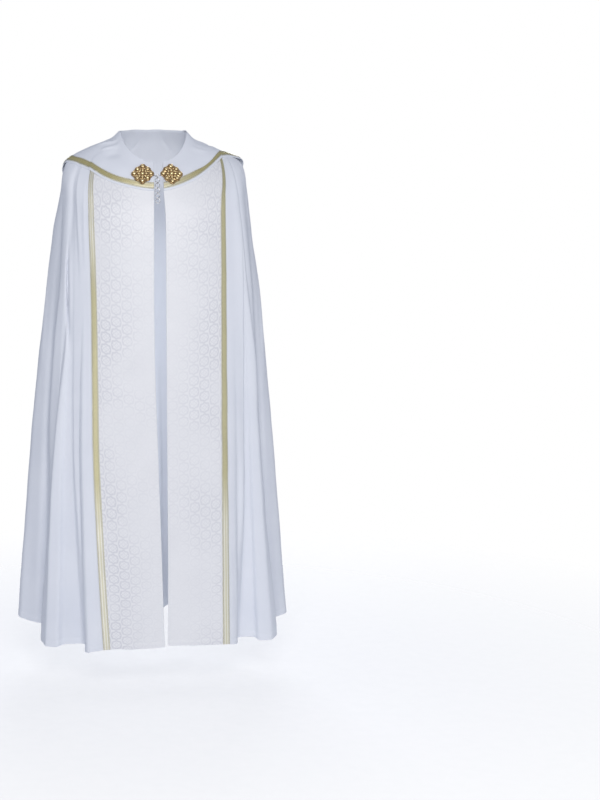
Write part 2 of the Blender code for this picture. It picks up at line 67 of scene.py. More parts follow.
# Level rings: down the cloth, its widest point, the depth and height of its middle at the
# front and back, how square it is, how softly it rolls over the shoulder, and where the
# front edges and the seams cross it.
SECTION_COLUMNS = (
    "down", "side_x", "side_z", "front_y", "front_z", "back_y", "back_z",
    "square", "ridge", "left_x", "right_x", "left_seam", "right_seam",
)  # fmt: skip
SECTIONS = {
    "neck": (0, 0.089, 0.006, -0.08, -0.083, 0.07, 0.014, 2, 0.12, -0.008, 0.0186, -0.0845, 0.0845),
    "roll": (0.024, 0.107, -0.013, -0.092, -0.102, 0.088, -0.006, 2.0, 0.15, -0.008, 0.018, -0.101, 0.101),
    "collar": (0.06, 0.14, -0.0275, -0.106, -0.128, 0.104, -0.036, 2.05, 0.2, -0.008, 0.0175, -0.132, 0.132),
    "yoke": (0.1, 0.179, -0.043, -0.118, -0.158, 0.12, -0.076, 2.1, 0.25, -0.008, 0.018, -0.165, 0.1775),
    "shoulder": (0.14, 0.217, -0.06, -0.128, -0.193, 0.132, -0.122, 2.2, 0.28, -0.009, 0.02, -0.178, 0.188),
    "bend": (0.165, 0.238, -0.074, -0.133, -0.217, 0.138, -0.152, 2.3, 0.3, -0.0095, 0.0215, -0.18, 0.185),
    "point": (0.185, 0.246, -0.0905, -0.136, -0.236, 0.142, -0.176, 2.35, 0.3, -0.0098, 0.0218, -0.18, 0.184),
    "arm": (0.235, 0.2535, -0.139, -0.14, -0.285, 0.147, -0.228, 2.35, 0.3, -0.01, 0.0222, -0.1795, 0.184),
    "chest": (0.4, 0.2755, -0.3, -0.145, -0.45, 0.155, -0.4, 2.3, 0.3, -0.0102, 0.0226, -0.1755, 0.1855),
    "waist": (0.56, 0.295, -0.458, -0.15, -0.6, 0.162, -0.565, 2.3, 0.3, -0.0085, 0.0232, -0.1745, 0.1862),
    "hip": (0.87, 0.3275, -0.765, -0.16, -0.885, 0.185, -0.87, 2.25, 0.3, 0.0005, 0.0247, -0.173, 0.188),
    "knee": (1.11, 0.349, -1.002, -0.172, -1.11, 0.21, -1.105, 2.2, 0.3, 0.0075, 0.0258, -0.164, 0.1895),
    "hem": (1.45, 0.377, -1.338, -0.19, -1.366, 0.245, -1.366, 2.2, 0.3, 0.015, 0.0242, -0.15, 0.19),
}  # fmt: skip

# The hem: around from the left front edge over the back to the right front edge, where it
# hangs, and how far down the cloth each fold begins.
FOLD_COLUMNS = ("around", "x", "y", "z", "start")
FOLDS = {
    "left edge": (-0.15, 0.015, -0.187, -1.366, 0.5),
    "left middle": (-0.07, -0.07, -0.2, -1.367, 0.5),
    "left seam": (0.0, -0.15, -0.206, -1.366, 0.5),
    "left margin": (0.012, -0.176, -0.209, -1.368, 0.5),
    "left corner": (0.024, -0.1965, -0.199, -1.371, 0.5),
    "left tuck": (0.036, -0.19, -0.15, -1.368, 1.02),
    "left lap": (0.05, -0.238, -0.132, -1.367, 0.3),
    "left lap crest": (0.064, -0.284, -0.141, -1.372, 0.18),
    "left lap turn": (0.078, -0.31, -0.108, -1.368, 0.14),
    "left side tuck": (0.104, -0.294, -0.006, -1.352, 0.14),
    "left side": (0.13, -0.337, 0.028, -1.345, 0.16),
    "left side crest": (0.16, -0.377, 0.074, -1.337, 0.2),
    "left rear in": (0.198, -0.322, 0.122, -1.346, 0.24),
    "left rear out": (0.24, -0.338, 0.205, -1.352, 0.26),
    "back 1 in": (0.286, -0.264, 0.166, -1.358, 0.28),
    "back 1 out": (0.334, -0.23, 0.266, -1.364, 0.3),
    "back 2 in": (0.38, -0.184, 0.19, -1.364, 0.32),
    "back 2 out": (0.422, -0.128, 0.286, -1.368, 0.34),
    "back 3 in": (0.462, -0.064, 0.204, -1.366, 0.34),
    "back 3 out": (0.484, -0.029, 0.262, -1.369, 0.36),
    "back 4 in": (0.508, 0.009, 0.22, -1.368, 0.36),
    "back 4 out": (0.556, 0.092, 0.292, -1.369, 0.34),
    "back 5 in": (0.606, 0.17, 0.194, -1.366, 0.32),
    "back 5 out": (0.652, 0.234, 0.274, -1.367, 0.3),
    "back 6 in": (0.7, 0.27, 0.172, -1.362, 0.28),
    "right rear out": (0.748, 0.334, 0.212, -1.358, 0.26),
    "right rear in": (0.796, 0.326, 0.122, -1.352, 0.24),
    "right side crest": (0.838, 0.385, 0.072, -1.342, 0.2),
    "right side": (0.868, 0.347, 0.028, -1.347, 0.16),
    "right side tuck": (0.896, 0.304, -0.006, -1.353, 0.14),
    "right lap turn": (0.922, 0.327, -0.104, -1.367, 0.14),
    "right lap crest": (0.936, 0.291, -0.127, -1.37, 0.18),
    "right lap": (0.95, 0.254, -0.112, -1.363, 0.3),
    "right tuck": (0.964, 0.209, -0.132, -1.364, 1.0),
    "right corner": (0.979, 0.2125, -0.169, -1.364, 0.5),
    "right margin": (0.989, 0.2035, -0.181, -1.364, 0.5),
    "right seam": (1.0, 0.19, -0.184, -1.363, 0.5),
    "right middle": (1.07, 0.107, -0.188, -1.363, 0.5),
    "right edge": (1.15, 0.0242, -0.187, -1.362, 0.5),
}  # fmt: skip

HOOD_COLUMNS = ("around", "depth")
HOOD_DEPTHS = {
    "left front": (-0.15, 0.098),
    "left collarbone": (-0.1, 0.099),
    "left chest": (-0.05, 0.108),
    "left seam": (0.0, 0.119),
    "left arm": (0.08, 0.141),
    "left shoulder": (0.15, 0.17),
    "left blade": (0.25, 0.202),
    "left slope": (0.32, 0.238),
    "left back": (0.36, 0.272),
    "left point side": (0.42, 0.334),
    "back point": (0.5035, 0.41),
    "right point side": (0.585, 0.334),
    "right back": (0.645, 0.272),
    "right slope": (0.685, 0.238),
    "right blade": (0.755, 0.202),
    "right shoulder": (0.855, 0.162),
    "right arm": (0.925, 0.13),
    "right seam": (1.0, 0.11),
    "right chest": (1.05, 0.096),
    "right collarbone": (1.1, 0.092),
    "right front": (1.15, 0.098),
}
BACK_POINT = HOOD_DEPTHS["back point"][0]

# Creases pressed and pulled into the cloth. Each has its upper place and its lower place
# (around, down, around, down), its reach before and after the line, in the way around, how high
# it stands (a trough is negative) and how far its middle bows, all in metres. A short reach
# makes a sharp lap.
CREASES = {
    "left drag fold": (0.022, 0.068, -0.008, 0.012, 0.005, 0.005, 0.0032, 0),
    "left drag hollow": (-0.012, 0.07, -0.028, 0.022, 0.008, 0.008, -0.003, 0),
    "left drag fold 2": (0.075, 0.075, 0.035, 0.012, 0.007, 0.007, 0.0024, 0),
    "left shoulder ridge": (0.135, 0.06, 0.1, 0.01, 0.012, 0.012, 0.0016, 0),
    "right shoulder plane": (0.945, 0.02, 0.915, 0.115, 0.02, 0.02, -0.003, 0),
    "right drag fold": (0.99, 0.07, 1.01, 0.018, 0.006, 0.006, 0.0014, 0),
    "left flute 1": (0.016, 0.135, 0.014, 0.36, 0.006, 0.006, 0.0016, 0),
    "left line 1": (0.056, 0.13, 0.036, 0.42, 0.007, 0.016, -0.0022, -0.004),
    "left ridge 1": (0.05, 0.125, 0.03, 0.36, 0.008, 0.004, 0.001, -0.004),
    "left line 2": (0.065, 0.125, 0.065, 0.37, 0.015, 0.016, -0.0062, -0.004),
    "left arm hollow": (0.118, 0.2, 0.08, 0.56, 0.008, 0.014, -0.0015, 0),
    "left arm inset": (0.168, 0.11, 0.155, 0.33, 0.04, 0.055, -0.0065, 0),
    "left lap edge": (0.06, 0.42, 0.0795, 1.3, 0.006, 0.034, -0.0095, 0.005),
    "left lap lip": (0.0545, 0.42, 0.074, 1.3, 0.014, 0.003, 0.0034, 0.005),
    "left lap fill": (0.083, 0.42, 0.094, 1.02, 0.012, 0.012, 0.007, 0),
    "left lap flute": (0.045, 0.7, 0.046, 1.44, 0.013, 0.013, 0.0008, 0),
    "left lap trough": (0.054, 0.8, 0.051, 1.3, 0.007, 0.009, -0.0012, 0),
    "right line 2": (0.951, 0.12, 0.9165, 0.76, 0.016, 0.005, -0.0105, -0.003),
    "right ridge 2": (0.959, 0.12, 0.9235, 0.76, 0.024, 0.032, 0.0105, -0.003),
    "right line 3": (0.917, 0.55, 0.915, 1.3, 0.02, 0.014, -0.008, 0),
    "right outer line": (0.9, 0.15, 0.858, 0.42, 0.016, 0.005, -0.005, -0.008),
    "right outer ridge": (0.908, 0.15, 0.866, 0.42, 0.004, 0.008, 0.002, -0.008),
    "right margin line": (0.996, 1.0, 0.982, 1.44, 0.006, 0.004, -0.0016, 0),
    "left corner flute": (0.012, 0.8, 0.012, 1.44, 0.009, 0.009, 0.002, 0),
    "right soft fold": (0.966, 0.9, 0.974, 1.44, 0.01, 0.01, 0.004, 0),
    "left orphrey dent": (-0.026, 0.96, -0.083, 1.07, 0.008, 0.008, -0.0018, 0),
    "right orphrey dent": (1.077, 1.1, 1.032, 1.16, 0.008, 0.008, -0.0018, 0),
    "left orphrey sag": (-0.11, 0.55, -0.05, 0.7, 0.012, 0.012, -0.0012, 0),
    "right orphrey sag": (1.11, 0.38, 1.04, 0.55, 0.014, 0.014, -0.0014, 0),
    "back valley 1": (0.418, 0.3, 0.405, 0.8, 0.014, 0.014, -0.004, 0),
    "back valley 2": (0.48, 0.4, 0.488, 0.85, 0.012, 0.012, -0.004, 0),
    "back valley 3": (0.578, 0.32, 0.582, 0.8, 0.014, 0.014, -0.004, 0),
    "left elbow fold 1": (0.16, 0.4, 0.13, 0.75, 0.01, 0.01, 0.003, 0),
    "left elbow fold 2": (0.2, 0.3, 0.19, 0.7, 0.009, 0.009, -0.003, 0),
    "right elbow fold 1": (0.84, 0.4, 0.87, 0.8, 0.01, 0.01, 0.003, 0),
    "right elbow fold 2": (0.8, 0.35, 0.81, 0.7, 0.009, 0.009, -0.003, 0),
    "back flute 1": (0.3, 0.5, 0.29, 1.3, 0.01, 0.01, 0.003, 0),
    "back flute 2": (0.37, 0.6, 0.36, 1.35, 0.009, 0.009, -0.003, 0),
    "back flute 3": (0.44, 0.7, 0.445, 1.4, 0.009, 0.009, 0.003, 0),
    "back flute 4": (0.53, 0.6, 0.535, 1.38, 0.01, 0.01, 0.003, 0),
    "back flute 5": (0.63, 0.55, 0.64, 1.3, 0.009, 0.009, -0.003, 0),
    "back flute 6": (0.72, 0.5, 0.725, 1.2, 0.01, 0.01, 0.003, 0),
}
# Creases at the back that are on both sides: the left one of each pair
PAIRED_CREASES = {
    "blade hollow": (0.24, 0.06, 0.3, 0.2, 0.024, 0.024, -0.004, 0),
    "blade pull": (0.33, 0.05, 0.27, 0.2, 0.016, 0.016, 0.002, 0),
    "nape fold": (0.42, 0.02, 0.35, 0.1, 0.01, 0.01, 0.002, 0),
}
for crease_name, (a1, d1, a2, d2, *rest) in PAIRED_CREASES.items():
    CREASES[f"left {crease_name}"] = (a1, d1, a2, d2, *rest)
    CREASES[f"right {crease_name}"] = (1 - a1, d1, 1 - a2, d2, *rest)

# Slits that open straight back between two folds, in the same columns as the creases.
SLITS = {
    "left slit": (0.0676, 0.335, 0.0539, 0.565, 0.0042, 0.0042, -0.021, 0.001),
}

# Each flat cut is part of a ring: the angle it fills and its inner radius.
MANTLE_CUT = (1.32, 0.57)
HOOD_CUT = (3.6, 0.115)

# Metres of cloth that one around stands for, where the size of a small gap depends on it
GIRTH = 2.3
FRONT_GIRTH = 1.1
YOKE_GIRTH = 2.2

# Finer sizes of the cloth's making
MANTLE_COLUMNS = 345
LAP_BANDS = ((0.03, 0.075), (0.915, 0.96))  # stretches around the mantle with sharp laps
LAP_STEP = 0.0011
ORPHREY_COLUMNS = 50
HOOD_COLUMNS_HALF = 270
HOOD_ROWS = 50
HOOD_EDGE_INSETS = (0.0045, 0.003, 0.0015, 0.0)
YOKE_LEVEL = 0.1  # the way down at which the hood's columns are spaced
MITRE_GAP = 0.0001
MITRE_CLEAR = 0.001  # from the mitre to the galloon's own stitches
MITRE_OVERRUN = 0.004  # how far the mitre's stitches start above the galloon
BEND_SHARE = 0.02  # metres of cloth that one radian of bend counts for when columns are spaced
HEM_DEPTH = 0.02
HEM_LEVEL = 1.42  # the way down at which the mantle's columns are spaced
# Rows of the cloth: how far down a stretch ends, and how many steps lead to it
MANTLE_ROWS = ((0.3, 42), (1.41, 52))
ORPHREY_ROWS = ((0.2, 30), (1.41, 150), (1.427, 4))
GALLOON_ROWS = 330
HEM_ROWS = ((1.427, 3), (1.434, 5), (HEM_DOWN, 5))
HEM_RISE = 0.0003
HEM_PULL = 0.0007
HEM_DRAW = 0.25
HEM_EASE = 0.0024
STITCH_REACH = 0.0022  # how far from a stitch line the cloth is drawn in
MANTLE_HEM_PITCH = 0.006
ORPHREY_HEM_PITCH = 0.03
SEAM_PULL = 0.0006
FACING_RISE = 0.0001
FACING_PULL = 0.0004
FACING_REACH = 0.0016
HOOD_EDGE_LIFT = 0.0022  # the hood's edge lies on the mantle
HOOD_EDGE_RUN = 0.07
HOOD_WAVE = 0.0011
HOOD_FREE = (0.08, 0.2)  # where the hood begins to hang free, and over what way it does
HOOD_DRAGS = ((41, 9, 0, 0.6), (67, -14, 1.3, 0.4))  # radians around and down, phase, share
HOOD_KEPT = 0.5  # the least of its edge's height that the hood keeps further in
HOOD_ROW_EASE = 1.3
POINT_RISE = 0.0016  # the mitre makes the back point stand up a little
POINT_SPREAD = 0.02
OVER_BRAID = 0.0018  # how much higher the hood's edge passes over the front galloons
# Where the hood's edge flares over the arms: around, spread and height
HOOD_FLARES = ((0.19, 0.045, 0.005), (0.83, 0.045, 0.010))
FACING_STITCH = 0.006  # from the front edge to its stitch line
# Stitches: their pitch, length and thickness, and how deep they sink
GALLOON_STITCHES = (0.0036, 0.0026, 0.0006)
MITRE_STITCHES = (0.0021, 0.0022, 0.0009)
HEM_STITCHES = (0.0044, 0.0028, 0.0005)
FACING_STITCHES = (0.004, 0.0028, 0.0005)
HEM_STITCH_SINK = 0.0008
FACING_STITCH_SINK = 0.0002
STITCH_AHEAD = 0.0005  # how far ahead its direction is taken
STITCH_END = 0.003  # from the last stitch to the end of the cloth
GALLOON_STITCH_END = 0.002
HEM_INSET = 0.004  # from the front edge to the hem's first stitch, in the way around
FACING_TOP = 0.1
BRAID_STITCH = 0.0014  # from the galloon's edge to its stitches
TWILL_PITCH = 0.0014  # the real rib is 0.7 mm, drawn coarser so that it shows
TWILL_SLOPE = 0.7
YARN_PITCH = 0.0009
TWILL_RELIEF = 0.00011
RING_COLUMN = 0.029  # the damask's net of rings: half-drop columns and repeat
RING_REPEAT = 0.033
DAMASK_RING = (0.0132, 8, 0.0009, 0.0052)  # radius, lobes, their depth, the line's width
DAMASK_ROSETTE = (0.0052, 4, 0.0022, 0.0034)
DAMASK_YARN = 0.0006
DAMASK_RELIEF = 0.00009
LATTICE_PITCH = 0.006
STRAND_EDGE = (0.52, 0.30)  # where a strand of the trellis ends and where it is full
DIM_FADE = 0.14  # the way over which the painted dim reflection on the gold gives way to pale
BRAID_RELIEF = 0.00013
BRAID_EDGE = (0.0, 0.0007, 0.0014, 0.0021, 0.0028, 0.0036, 0.006)  # its border's columns
BRAID_CORD = (0.0014, 0.0008, 0.00028)  # from the edge, reach, height
BRAID_GROOVE = (0.0028, 0.0005, -0.00018)
BRAID_CUSHION = 0.00012
PUCKER_HEIGHT = 0.00015
PUCKER_LENGTH = 0.021
PUCKER_REACH = 0.002
BRAID_ACROSS = [*BRAID_EDGE, BRAID_WIDTH / 2, *(BRAID_WIDTH - x for x in BRAID_EDGE[::-1])]
BRAID_ACROSS = np.array(BRAID_ACROSS)

HOOD_BRAID_DIM = 0.62  # from the back point, the way over which the galloon is painted dull: a painted dim reflection

# Clasps, hook, eye and chain
CLASP_PLACES = {"left": (-0.1205, 0.0475), "right": (1.1260, 0.0475)}  # around, down
CLASP_RADIUS = 0.0265
CLASP_LOBE_DEPTH = 0.085
CLASP_LIFT = 0.0016
SOLDER_DEPTH = 0.0004  # how far a wire's end goes into the plate
CLASP_PLATE = 0.0014
CLASP_MIDDLE = 0.0207
CLASP_BOSS = 0.0042
CLASP_COLLAR = (0.0056, 0.0012, 0)  # radius, wire and how far away
CLASP_RING = (0.0042, 0.0008, 0.0101)
PETAL_WIRE = 0.0015
BOSS_WIRE = 0.0007
CLASP_NOTCH_TURN = math.radians(24.5)  # from an upright petal to the notch beside it
# Rings of four petals: how far away, radius, boss and first turn
CLASP_PETALS = ((0.0221, 0.0086, 0.0044, 0.0), (0.0190, 0.0080, 0.0040, math.pi / 4))
# Rings of beads: radius, how far away, height in plates, flattening, how many and first turn
CLASP_BEADS = (
    (0.0032, 0.0101, 1.0, 0.7, 4, 0.0),
    (0.0026, 0.0108, 1.0, 0.7, 4, math.pi / 4),
    (0.0016, 0.0160, 1.0, 0.8, 8, math.pi / 8),
    (0.0018, 0.0247, 0.2, 0.8, 4, -CLASP_NOTCH_TURN),
    (0.0018, 0.0247, 0.2, 0.8, 4, CLASP_NOTCH_TURN),
)
WIRE = 0.0016
EYE_CENTRE = Vector((0.0005, -0.1178, -0.1170))
EYE_RADIUS = 0.0037
EYE_TURN = (20, 330)
EYE_SHANK = ((0.0102, -0.1104, -0.1146), (0.0085, -0.1138, -0.1158), (0.0062, -0.1166, -0.1162))
HOOK_BENDS = (
    (-0.0075, -0.1106, -0.1150), (-0.0064, -0.1148, -0.1162), (-0.0048, -0.1184, -0.1168),
    (-0.0030, -0.1201, -0.1170), (-0.0008, -0.1196, -0.1170), (0.0004, -0.1180, -0.1170),
    (0.0000, -0.1163, -0.1170), (-0.0018, -0.1154, -0.1170), (-0.0040, -0.1152, -0.1168),
)  # fmt: skip
CHAIN_SLOPE = math.radians(14.6)
RING_RADIUS = 0.0058
LINK_RADIUS = 0.0029
LINK_WIRE = 0.0013
METAL_PLAY = 0.0003
SMOOTH_ANGLE = math.radians(40)
CHAIN_RINGS = 5

# Camera, studio and floor. The lights give place, target, size, watts and tint.
CAMERA_PLACE = (-0.31992, -4.06497, -0.27143)
CAMERA_TARGET = (0.0, 0.0, -0.70)
SENSOR = 36.0
LENS = 67.09
CAMERA_SHIFT = (0.183, -0.0103)
LIGHTS = {
    "key": ((-0.2, -3.9, 1.0), (0.0, 0.0, -0.7), (1.5, 1.5), 88.0, "#FFFCF8"),
    "side": ((2.6, -2.4, 0.0), (0.0, 0.0, -0.7), (1.2, 2.0), 6.0, "#FFFBF6"),
    "back": ((0.5, 3.6, 0.6), (0.0, 0.0, -0.6), (2.2, 1.8), 70.0, "#FBFCFF"),
    "inner": ((0.01, -0.02, -0.72), (0.01, 0.3, -0.72), (0.22, 1.05), 0.6, "#F4F8FF"),
}
BACKGROUND = "#FFFFFF"
HORIZON = "#E4ECFE"
ZENITH = "#8E9AB4"
GROUND = "#D8DEEC"
WORLD_STRENGTH = 0.50
FLOOR_Z = -1.49
FLOOR_RADIUS = 2.6
FLOOR_GLOW = 0.30  # the light table under the paper

RIPPLE_SEED = 17
RIPPLE_WAVES = 40
RIPPLE_LENGTHS = (0.05, 0.19)
RIPPLE_SPREAD = 0.35  # radians that the waves turn away from the fall
RIPPLE_BEND = (0.02, 0.05)
RIPPLE_BENDS = (4, 9)  # radians a metre
RIPPLE_HEIGHT = 0.00045
CREASE_START = 0.65  # a crease is narrower at its upper end, by this share of its reach
CREASE_FADE = 0.8

# How a sheet's edge turns, in shares of its thickness: its faces stop short of the edge, the
# turn's first and last lines stand up and out, and its middle line stands out furthest.
EDGE_DRAW = 0.22
EDGE_RISE = 0.72
EDGE_SHOULDER = 0.12
EDGE_BULGE = 0.28

RING_SAMPLES = 361
EDGE_SAMPLES = 200
SEAM_SAMPLES = 81
LINE_SAMPLES = 700
HEM_SAMPLES = 2400
MITRE_SAMPLES = 60
HOOD_LINE_SAMPLES = 400
HOOD_LINE_LEVEL = 0.12
BEND_SAMPLES = 4001
INSET_EASE = 5  # neighbours on each side over which creases are evened out of the inset lines
AROUND_STEP = 0.001
DOWN_STEP = 0.0025
NUDGE = 0.001

# --- the draped cloth ---


def by_column(table, columns):
    """The table turned round: one array for each named column."""
    return {name: np.array(values) for name, *values in zip(columns, *table.values())}


SECTION = by_column(SECTIONS, SECTION_COLUMNS)
FOLD = by_column(FOLDS, FOLD_COLUMNS)
HOOD = by_column(HOOD_DEPTHS, HOOD_COLUMNS)


def smooth(at, knots, values, gain=1):
    """A curve with no corners through the values at the knots; gain lengthens its tangents."""
    at = np.clip(at, knots[0], knots[-1])
    step = np.diff(knots)
    slope = np.diff(values) / step
    tangent = np.empty(len(knots))
    tangent[1:-1] = (step[:-1] * slope[1:] + step[1:] * slope[:-1]) / (step[:-1] + step[1:])
    tangent[0], tangent[-1] = slope[0], slope[-1]
    tangent *= gain
    i = np.clip(np.searchsorted(knots, at, side="right") - 1, 0, len(step) - 1)
    h = step[i]
    t = (at - knots[i]) / h
    return (
        values[i] * (1 + 2 * t) * (1 - t) ** 2
        + tangent[i] * h * t * (1 - t) ** 2
        + values[i + 1] * t**2 * (3 - 2 * t)
        - tangent[i + 1] * h * t**2 * (1 - t)
    )


def way_along(points):
    """How far each point lies along its line; the last axis but one runs along the lines."""
    way = np.zeros(points.shape[:-1])
    way[..., 1:] = np.cumsum(np.linalg.norm(np.diff(points, axis=-2), axis=-1), axis=-1)
    return way


def read_off(at, way, values):
    """Vectors given along a line, read off at other ways along it."""
    return np.stack([np.interp(at, way, values[:, k]) for k in range(3)], 1)


def unit(vectors):
    """The vectors at a length of one."""
    return vectors / np.maximum(np.linalg.norm(vectors, axis=-1, keepdims=True), 1e-12)


def section(name, down):
    """One measure of the rings at one way down the cloth."""
    return smooth(down, SECTION["down"], SECTION[name])


def fold(name, around):
    """One measure of the hem at the given places around it, with round crests on the body."""
    first, last = (FOLDS[f"{side} margin"][0] for side in ("left", "right"))
    on_body = (FOLD["around"] > first) & (FOLD["around"] < last) & (name != "z")
    return smooth(around, FOLD["around"], FOLD[name], np.where(on_body, FOLD_ROUNDNESS, 1))


def ring(down):
    """Points of the unfolded ring at one way down, from the left to the right front edge."""
    power = 2 / section("square", down)
    half, left, right = (section(n, down) for n in ("side_x", "left_x", "right_x"))
    start = -math.copysign(math.asin((abs(left) / half) ** (1 / power)), left)
    end = 2 * math.pi - math.asin((right / half) ** (1 / power))
    turn = np.linspace(start, end, RING_SAMPLES)
    sine, cosine = np.sin(turn), np.cos(turn)
    x = -half * np.sign(sine) * np.abs(sine) ** power
    share = np.abs(cosine) ** power
    in_front = cosine > 0
    reach = np.where(in_front, section("front_y", down) - SIDE_Y, section("back_y", down) - SIDE_Y)
    drop = np.where(in_front, section("front_z", down), section("back_z", down))
    side_z, ridge = section("side_z", down), section("ridge", down)
    rolled = (np.sqrt(share**2 + ridge**2) - ridge) / (math.hypot(1, ridge) - ridge)
    return np.stack([x, SIDE_Y + reach * share, side_z + (drop - side_z) * rolled], 1)


def on_ring(around, down):
    """Where the places around the garment lie on the unfolded ring at one way down."""
    points = ring(down)
    way = way_along(points[:, :2])
    quarter = RING_SAMPLES // 4
    outward, inward = -points[:quarter, 0], -points[-quarter:, 0]
    left_seam = np.interp(-section("left_seam", down), outward, way[:quarter])
    right_seam = np.interp(-section("right_seam", down), inward, way[-quarter:])
    ends = [-ORPHREY_SPAN, 0, 1, 1 + ORPHREY_SPAN]
    at = np.interp(around, ends, [0, left_seam, right_seam, way[-1]])
    return read_off(at, way, points)


def outward_of(points):
    """Unit vectors out of a grid of points whose rows run down the cloth."""
    return unit(np.cross(np.gradient(points, axis=1), np.gradient(points, axis=0)))


def crease_heights(creases, around, down, girth):
    """How far a table of creases pushes each place; girth is each row's length for one around."""
    height = np.zeros((len(down), len(around)))
    for a1, d1, a2, d2, before, after, high, bow in creases.values():
        scale = np.interp((d1 + d2) / 2, down, girth)
        run = np.array([(a2 - a1) * scale, d2 - d1])
        long = np.hypot(*run)
        x = (around[None, :] - a1) * scale
        y = down[:, None] - d1
        along = np.clip((x * run[0] + y * run[1]) / long**2, 0, 1)
        aside = (x * run[1] - y * run[0]) / long - 4 * bow * along * (1 - along)
        reach = np.where(aside * run[1] > 0, after, before)
        reach = reach * (CREASE_START + (1 - CREASE_START) * along)
        height += high * np.sin(np.pi * along) ** CREASE_FADE * np.exp(-((aside / reach) ** 2))
    return height


def ripple_heights(flat_x, flat_y):
    """The slight unevenness of woven cloth that hangs: long waves, mostly along the fall."""
    rng = np.random.default_rng(RIPPLE_SEED)
    height = np.zeros_like(flat_x)
    for _ in range(RIPPLE_WAVES):
        length = rng.uniform(*RIPPLE_LENGTHS)
        turn = rng.normal(0, RIPPLE_SPREAD)
        phase = rng.uniform(0, 2 * np.pi)
        bend = rng.uniform(*RIPPLE_BEND) * np.sin(flat_y * rng.uniform(*RIPPLE_BENDS) + phase)
        wave = (flat_x + bend) * np.cos(turn) + flat_y * np.sin(turn)
        height += np.sin(2 * np.pi * wave / length + phase) * length
    return height * RIPPLE_HEIGHT / (np.std(height) + 1e-12)


def sector(around, down, angle, inner):
    """Where a place of a piece lies on its flat cut, in metres."""
    turn = (around - 0.5) * angle
    radius = down + inner
    return np.stack([radius * np.sin(turn), -radius * np.cos(turn)], -1)


def drape():
    """The whole cloth as a table of points, with its outward directions and flat places."""
    around = np.arange(-ORPHREY_SPAN, 1 + ORPHREY_SPAN + AROUND_STEP / 2, AROUND_STEP)
    down = np.arange(0, HEM_DOWN + DOWN_STEP / 2, DOWN_STEP)
    rings = np.stack([on_ring(around, level) for level in down])
    hem = np.stack([fold(name, around) for name in ("x", "y", "z")], 1)
    start = smooth(around, FOLD["around"], FOLD["start"])[None, :]
    grown = np.clip((down[:, None] - start) / (HEM_DOWN - start), 0, 1) ** FOLD_GROWTH
    points = rings + grown[..., None] * (hem - rings[-1])[None]
    girth = np.linalg.norm(np.diff(points, axis=1), axis=2).sum(1) / (around[-1] - around[0])
    flat = sector(around[None, :], down[:, None], *MANTLE_CUT)
    ripples = ripple_heights(flat[..., 0], -flat[..., 1])
    height = crease_heights(CREASES, around, down, girth) + ripples
    points = points + outward_of(points) * height[..., None]
    points[..., 1] -= crease_heights(SLITS, around, down, girth)
    return around, down, points, outward_of(points)


def look_up(values, around, down):
    """Values of a table at the given places, straight between its entries."""
    column = np.clip((around - AROUND[0]) / AROUND_STEP, 0, len(AROUND) - 1.001)
    row = np.clip(down / DOWN_STEP, 0, len(DOWN) - 1.001)
    i, j = row.astype(int), column.astype(int)
    u, v = (row - i)[..., None], (column - j)[..., None]
    top = values[i, j] * (1 - v) + values[i, j + 1] * v
    bottom = values[i + 1, j] * (1 - v) + values[i + 1, j + 1] * v
    return top * (1 - u) + bottom * u


def laid(around, down, lift=0.0):
    """Points on the draped cloth, moved out by a lift, and their outward directions."""
    around, down = np.broadcast_arrays(np.asarray(around, float), np.asarray(down, float))
    out = unit(look_up(OUTWARD, around, down))
    lift = np.broadcast_to(lift, around.shape)[..., None]
    return look_up(POINTS, around, down) + out * lift, out


def on_cloth(around, down, lift=0.0):
    """Points on the draped cloth, moved out by a lift."""
    return laid(around, down, lift)[0]


def half_of_hood(side):
    """The knots and depths of the hood's left (-1) or right (1) half."""
    tip = list(HOOD_DEPTHS).index("back point")
    part = slice(0, tip + 1) if side < 0 else slice(tip, None)
    return HOOD["around"][part], HOOD["depth"][part]


def hood_ends(side, gap=0.0):
    """Where one half of the hood begins and ends, short of the back point by a gap."""
    return (-ORPHREY_SPAN, BACK_POINT - gap) if side < 0 else (BACK_POINT + gap, 1 + ORPHREY_SPAN)


def hood_depth(around):
    """How far down the hood reaches; its two halves meet in a sharp point at the back."""
    left, right = (smooth(around, *half_of_hood(side)) for side in (-1, 1))
    return np.where(around <= BACK_POINT, left, right)


def inside_hood_edge(around, inset):
    """How far down the line lies that runs inside the hood's edge at an even distance."""
    result = np.empty(len(around))
    for side in (-1, 1):
        along = np.linspace(*hood_ends(side), EDGE_SAMPLES)
        edge = smooth(along, *half_of_hood(side))
        across = (on_cloth(along + NUDGE, edge) - on_cloth(along - NUDGE, edge)) / (2 * NUDGE)
        fall = (on_cloth(along, edge + NUDGE) - on_cloth(along, edge - NUDGE)) / (2 * NUDGE)
        run = across + np.gradient(edge, along)[:, None] * fall
        inward = unit(np.cross(run, look_up(OUTWARD, along, edge)))
        basis = np.stack([across, fall], 2)
        shift = np.einsum("nij,nj->ni", np.linalg.pinv(basis), inward) * inset
        shift = np.pad(shift, ((INSET_EASE, INSET_EASE), (0, 0)), mode="edge")
        shift = np.lib.stride_tricks.sliding_window_view(shift, 2 * INSET_EASE + 1, 0).mean(2)
        moved = along + shift[:, 0]
        order = np.argsort(moved)
        mine = around <= BACK_POINT if side < 0 else around >= BACK_POINT
        result[mine] = np.interp(around[mine], moved[order], (edge + shift[:, 1])[order])
    return result


def hood_lift(down):
    """How far the hood's middle lies above the mantle's, less at the neck seam."""
    share = np.clip(down / HOOD_LIFT_RUN, 0, 1)
    return HOOD_LIFT_AT_NECK + (HOOD_LIFT - HOOD_LIFT_AT_NECK) * share


AROUND, DOWN, POINTS, OUTWARD = drape()


# --- shells ---


